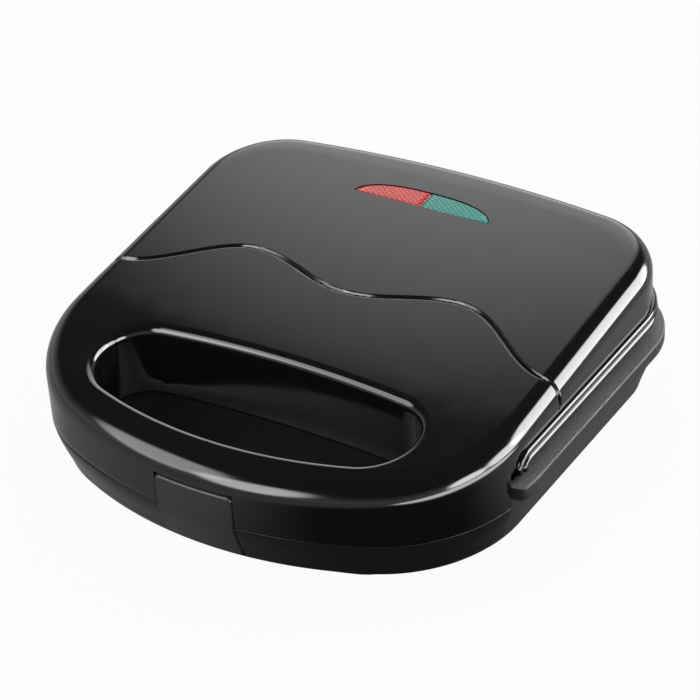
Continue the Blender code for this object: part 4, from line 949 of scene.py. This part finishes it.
# Lower shell. Across: from the slot tube's top down to the floor, out and up the wall, round the flange
# and back along the inside. Along: round the body.
def buildLowerSkin():
    _, body, slot = bothRings()
    soft, wall, floor, gripTop = (levels[key] for key in ("softEdge", "wall", "floorBottom", "gripBaseTop"))
    inFront = body[0][:, 1] < levels["stepY"]
    top = np.where(inFront, gripTop, levels["flangeTop"])
    foot = base["floorRound"]
    rows = [row(moved(slot, out), height) for out, height in (
        (soft, gripTop), (soft * 0.3, gripTop - soft * 0.3), (0.0, gripTop - soft), (0.0, gripTop * 0.5),
        (0.0, floor + foot))]
    rows += [row(moved(slot, foot * across), floor + foot * left) for across, left in roundShares(7)[1:]]
    start, end = moved(slot, foot), moved(body, -base["floorInset"])
    rows += [row(start + (end - start) * share, floor) for share in (0.25, 0.5, 0.75)]
    for guides in (base["floorCurve"], base["wallCurve"]):
        for share in np.linspace(0, 1, 10)[:-1]:
            out, height = cubicPoint(guides, share)
            rows.append(row(moved(body, out), np.minimum(height, top - soft * 2)))

    grow = np.clip((body[0][:, 1] - base["flangeStart"]) / base["flangeGrow"], 0, 1)
    grow = np.sqrt(1 - (1 - grow) ** 2)
    reach = (base["backReach"] + (base["sideReach"] - base["backReach"]) * np.abs(body[1][:, 0])) * grow
    corner = np.minimum(base["flangeRound"], reach)
    bottom = np.where(inFront, gripTop - soft * base["edgeUnder"], levels["flangeBottom"])
    roundUp = np.where(inFront, 0.0, base["flangeRound"])
    rows.append(row(body[0], bottom))
    rows += [row(moved(body, reach - corner * left), bottom + roundUp * across)
             for across, left in roundShares(5)]
    upperRound = np.where(inFront, soft, base["flangeRound"])
    upperCorner = np.where(inFront, soft, corner)
    rows += [row(moved(body, reach - upperCorner * across), top - upperRound * left)
             for across, left in roundShares(5)]

    rows += [row(moved(body, soft - wall), top), row(moved(body, -wall), top - soft)]
    rows += [row(moved(body, -wall - inset), height) for inset, height in base["innerWall"]]
    tube, shelf = moved(slot, base["tubeWall"]), moved(slot, base["tubeShelf"])
    inner = moved(body, -wall - base["floorInset"])
    rows += [row(tube + (inner - tube) * share, floor + wall) for share in (0.7, 0.35, 0.0)]
    behind = slot[0][:, 1] > levels["stepY"] + base["behindStep"]
    tubeTop = np.where(behind, levels["flangeTop"], gripTop)
    rows += [row(tube, tubeTop), row(shelf, tubeTop), row(shelf, gripTop)]
    skin = gridPiece("lowerSkin", np.stack(rows, 1), spark, sharp=40)

    cutChannel(skin)
    cutAway(skin, pocketCutter())
    holes = [rod(*inside["screwRange"], inside["screwHead"], 2, place)
             for place in bothSides(inside["postSide"], inside["postRows"])]
    holes += [rod(*inside["stemRange"], inside["stemHole"], 2, place)
              for place in bothSides(inside["footSide"], inside["footRows"])]
    holes.append(rod(inside["collarRange"][0], inside["outletEnd"], inside["outlet"], 1,
                     (0.0, inside["outletHeight"])))
    cutAway(skin, gatherPiece("holes", holes))
    return finishMesh(skin, spark, 40)


upperSkin = buildUpperSkin()
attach(upperSkin, "lid")
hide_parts("upper_shell")
print("upper shell made:", len(upperSkin.data.polygons), "faces")

beadTrim = buildBead()
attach(beadTrim, "lid")
lidSolids = hingeSolids(lidRanges(), 1, hinge["lidArm"]) + lidWebSolids() + studSolids() + cheekSolids()
lidInside = gatherPiece("lidInside", lidSolids, gloss)
softBevel(lidInside, inside["edge"])
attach(lidInside, "lid")

redLens = buildLens("redLens", -1, redPlastic)
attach(redLens, "lid")
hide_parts("red_lens")
greenLens = buildLens("greenLens", 1, greenPlastic)
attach(greenLens, "lid")
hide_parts("green_lens")

clipPiece = buildClip()
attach(clipPiece, "latch")
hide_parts("latch_clip")
print("bead, lenses and clip made")

lowerSkin = buildLowerSkin()
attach(lowerSkin, "base")
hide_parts("lower_shell")
baseSolids = hingeSolids(baseRanges(), -1, hinge["baseArm"]) + baseWebSolids() + postSolids()
baseInside = gatherPiece("baseInside", baseSolids + [collarSolid(), pocketTray()], spark)
softBevel(baseInside, inside["edge"])
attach(baseInside, "base")
print("lower shell made:", len(lowerSkin.data.polygons), "faces")

nodeFinishes = {
    coating: ["upper_plate", "lower_plate"],
    metals["elementMetal"]: ["upper_element", "lower_element"],
    metals["sheetMetal"]: ["upper_reflector", "lower_reflector", "thermal_fuse"],
    metals["pinMetal"]: ["hinge_pin_left", "hinge_pin_right", "latch_pin"],
    grained["rubber"]: [],
    grained["holderPlastic"]: ["lamp_holder"],
    grained["ceramic"]: ["thermostat", "terminal_block"],
    clearGlass: ["red_lamp", "green_lamp"],
}
for corner in ("front_left", "front_right", "rear_left", "rear_right"):
    nodeFinishes[metals["pinMetal"]].append("screw_" + corner)
    nodeFinishes[grained["rubber"]].append("foot_" + corner)
for material, nodeNames in nodeFinishes.items():
    for nodeName in nodeNames:
        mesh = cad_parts[nodeName].data
        mesh.materials.clear()
        mesh.materials.append(material)
print("solids finished:", sum(len(nodeNames) for nodeNames in nodeFinishes.values()))


# Direction by azimuth, from the front toward the right, and elevation
def wayTo(azimuth, elevation):
    azimuth, elevation = math.radians(azimuth), math.radians(elevation)
    return Vector((math.sin(azimuth) * math.cos(elevation), -math.cos(azimuth) * math.cos(elevation),
                   math.sin(elevation)))


view = {
    "azimuth": 34.064, "elevation": 33.773, "roll": -4.21, "distance": 1.13224, "clipStart": 0.01,
    "target": (0.0, 0.0, 0.0400), "lens": 138.584, "sensor": 36, "shiftX": 0.015945, "shiftY": 0.015095,
}


# Camera: turned about the target and tipped by the roll
def buildCamera():
    azimuth, roll = math.radians(view["azimuth"]), math.radians(view["roll"])
    back = wayTo(view["azimuth"], view["elevation"])
    right = Vector((math.cos(azimuth), math.sin(azimuth), 0.0))
    up = back.cross(right)
    tippedRight = right * math.cos(roll) + up * math.sin(roll)
    tippedUp = up * math.cos(roll) - right * math.sin(roll)
    camera = bpy.data.cameras.new("camera")
    camera.lens = view["lens"]
    camera.sensor_width = view["sensor"]
    camera.sensor_fit = "HORIZONTAL"
    camera.shift_x = view["shiftX"]
    camera.shift_y = view["shiftY"]
    camera.clip_start = view["clipStart"]
    holder = linked("camera", camera)
    spun = Matrix((tippedRight, tippedUp, back)).transposed().to_4x4()
    holder.matrix_world = Matrix.Translation(Vector(view["target"]) + back * view["distance"]) @ spun
    bpy.context.scene.camera = holder


# Soft lamps by direction, distance, size and power; gloss doesn't show them
lamps = {
    "backRight": {"azimuth": 140, "elevation": 40, "distance": 1.6, "size": (1.0, 0.6), "power": 6},
    "frontLeft": {"azimuth": -60, "elevation": 56, "distance": 1.6, "size": (1.0, 0.8), "power": 4},
}


def buildLamps():
    for name, lamp in lamps.items():
        light = bpy.data.lights.new(name, "AREA")
        light.shape = "RECTANGLE"
        light.size, light.size_y = lamp["size"]
        light.energy = lamp["power"]
        holder = linked(name, light)
        way = wayTo(lamp["azimuth"], lamp["elevation"])
        holder.location = way * lamp["distance"]
        holder.rotation_euler = way.to_track_quat("Z", "Y").to_euler()
        holder.visible_glossy = False


# What gloss shows of the room: a pale horizon, a dim ceiling and soft panels, each by its middle's azimuth
# and elevation, the angles at which it starts and stops to fade, its strength and its kind of fade
room = {"lit": 0.50, "horizon": 0.9, "ceiling": 0.05, "fadeStart": 0.10, "fadeEnd": 0.45}
panels = {
    "glow": (205, 25.8, 15.5, 22, 3.1, "LINEAR"),
    "right": (138, 18, 17, 23, 19, "SMOOTHSTEP"),
    "corner": (110, 12, 12, 19, 19, "SMOOTHSTEP"),
    "nose": (80, 7, 10, 16, 19, "SMOOTHSTEP"),
    "front": (-16, 20, 9, 17, 11, "SMOOTHSTEP"),
    "left": (-44, 26, 13, 20, 6.5, "SMOOTHSTEP"),
}


# World: white to the camera and through glass; to gloss, the room and its panels; otherwise one even light
def buildWorld():
    world = bpy.data.worlds.new("room")
    bpy.context.scene.world = world
    world.use_nodes = True
    tree = world.node_tree
    tree.nodes.clear()
    path = addNode(tree, "LightPath", {})
    way = addNode(tree, "TexCoord", {})["Generated"]
    upward = addNode(tree, "SeparateXYZ", {"Vector": way})["Z"]
    fade = mapField(tree, upward, 1.0, 0.0, room["fadeStart"], room["fadeEnd"])
    level = mapField(tree, fade, room["ceiling"], room["horizon"], 0.0, 1.0)
    for azimuth, elevation, inner, outer, strength, kind in panels.values():
        ways = {0: way, 1: wayTo(azimuth, elevation)}
        near = addNode(tree, "VectorMath", ways, operation="DOT_PRODUCT")["Value"]
        edges = (math.cos(math.radians(outer)), math.cos(math.radians(inner)))
        level = calculate(tree, "ADD", level, mapField(tree, near, 0.0, strength, *edges, kind))
    reflected, lit, white = (addNode(tree, "Background", {"Strength": strength})["Background"]
                             for strength in (level, room["lit"], 1.0))
    inGloss = addNode(tree, "MixShader", {"Fac": path["Is Glossy Ray"], 1: lit, 2: reflected})["Shader"]
    seen = calculate(tree, "MAXIMUM", path["Is Camera Ray"], path["Is Transmission Ray"])
    whole = addNode(tree, "MixShader", {"Fac": seen, 1: inGloss, 2: white})["Shader"]
    addNode(tree, "OutputWorld", {"Surface": whole})


floorLook = {"colour": (0.85, 0.85, 0.85), "roughness": 0.9, "toCamera": 0.95, "toGlass": 0.5, "half": 12.0}
# painted reflections: spots of the floor that only glossy rays see, one black and one glowing, to darken
# and brighten the body's reflections
paintedReflections = {
    "dark": {"middle": (0.13, -0.15, 0.0), "inner": 0.07, "outer": 0.17, "strength": 0.0},
    "bright": {"middle": (0.62, -0.20, 0.0), "inner": 0.36, "outer": 0.43, "strength": 10.0},
}


# Pale floor that glows to the camera and keeps the shadow; to gloss only, it shows a painted dark
# reflection and a painted bright reflection
def buildFloor():
    material, tree, shader, place = newFinish("paleFloor", floorLook["roughness"])
    fill(tree, shader, {"Base Color": floorLook["colour"], "Specular IOR Level": 0.0})
    path = addNode(tree, "LightPath", {})
    glows = [(path["Is Camera Ray"], floorLook["toCamera"], 1.0),
             (path["Is Transmission Ray"], floorLook["toGlass"], 1.0)]
    for patch in paintedReflections.values():
        apart = addNode(tree, "VectorMath", {0: place, 1: patch["middle"]}, operation="DISTANCE")["Value"]
        near = mapField(tree, apart, 1.0, 0.0, patch["inner"], patch["outer"], "SMOOTHSTEP")
        # painted reflection: near each spot the floor shows black or a glow, to glossy rays only
        glows.append((path["Is Glossy Ray"], near, patch["strength"]))
    surface = shader.outputs["BSDF"]
    for ray, share, strength in glows:
        glow = addNode(tree, "Emission", {"Strength": strength})["Emission"]
        amount = calculate(tree, "MULTIPLY", ray, share)
        surface = addNode(tree, "MixShader", {"Fac": amount, 1: surface, 2: glow})["Shader"]
    fill(tree, tree.nodes["Material Output"], {"Surface": surface})
    half = floorLook["half"]
    mesh = bpy.data.meshes.new("floor")
    corners = [(-half, -half, 0), (half, -half, 0), (half, half, 0), (-half, half, 0)]
    mesh.from_pydata(corners, [], [(0, 1, 2, 3)])
    mesh.materials.append(material)
    linked("floor", mesh)


buildCamera()
buildLamps()
buildWorld()
buildFloor()
bpy.context.scene.view_settings.view_transform = "Standard"
print("camera, lamps and floor set")
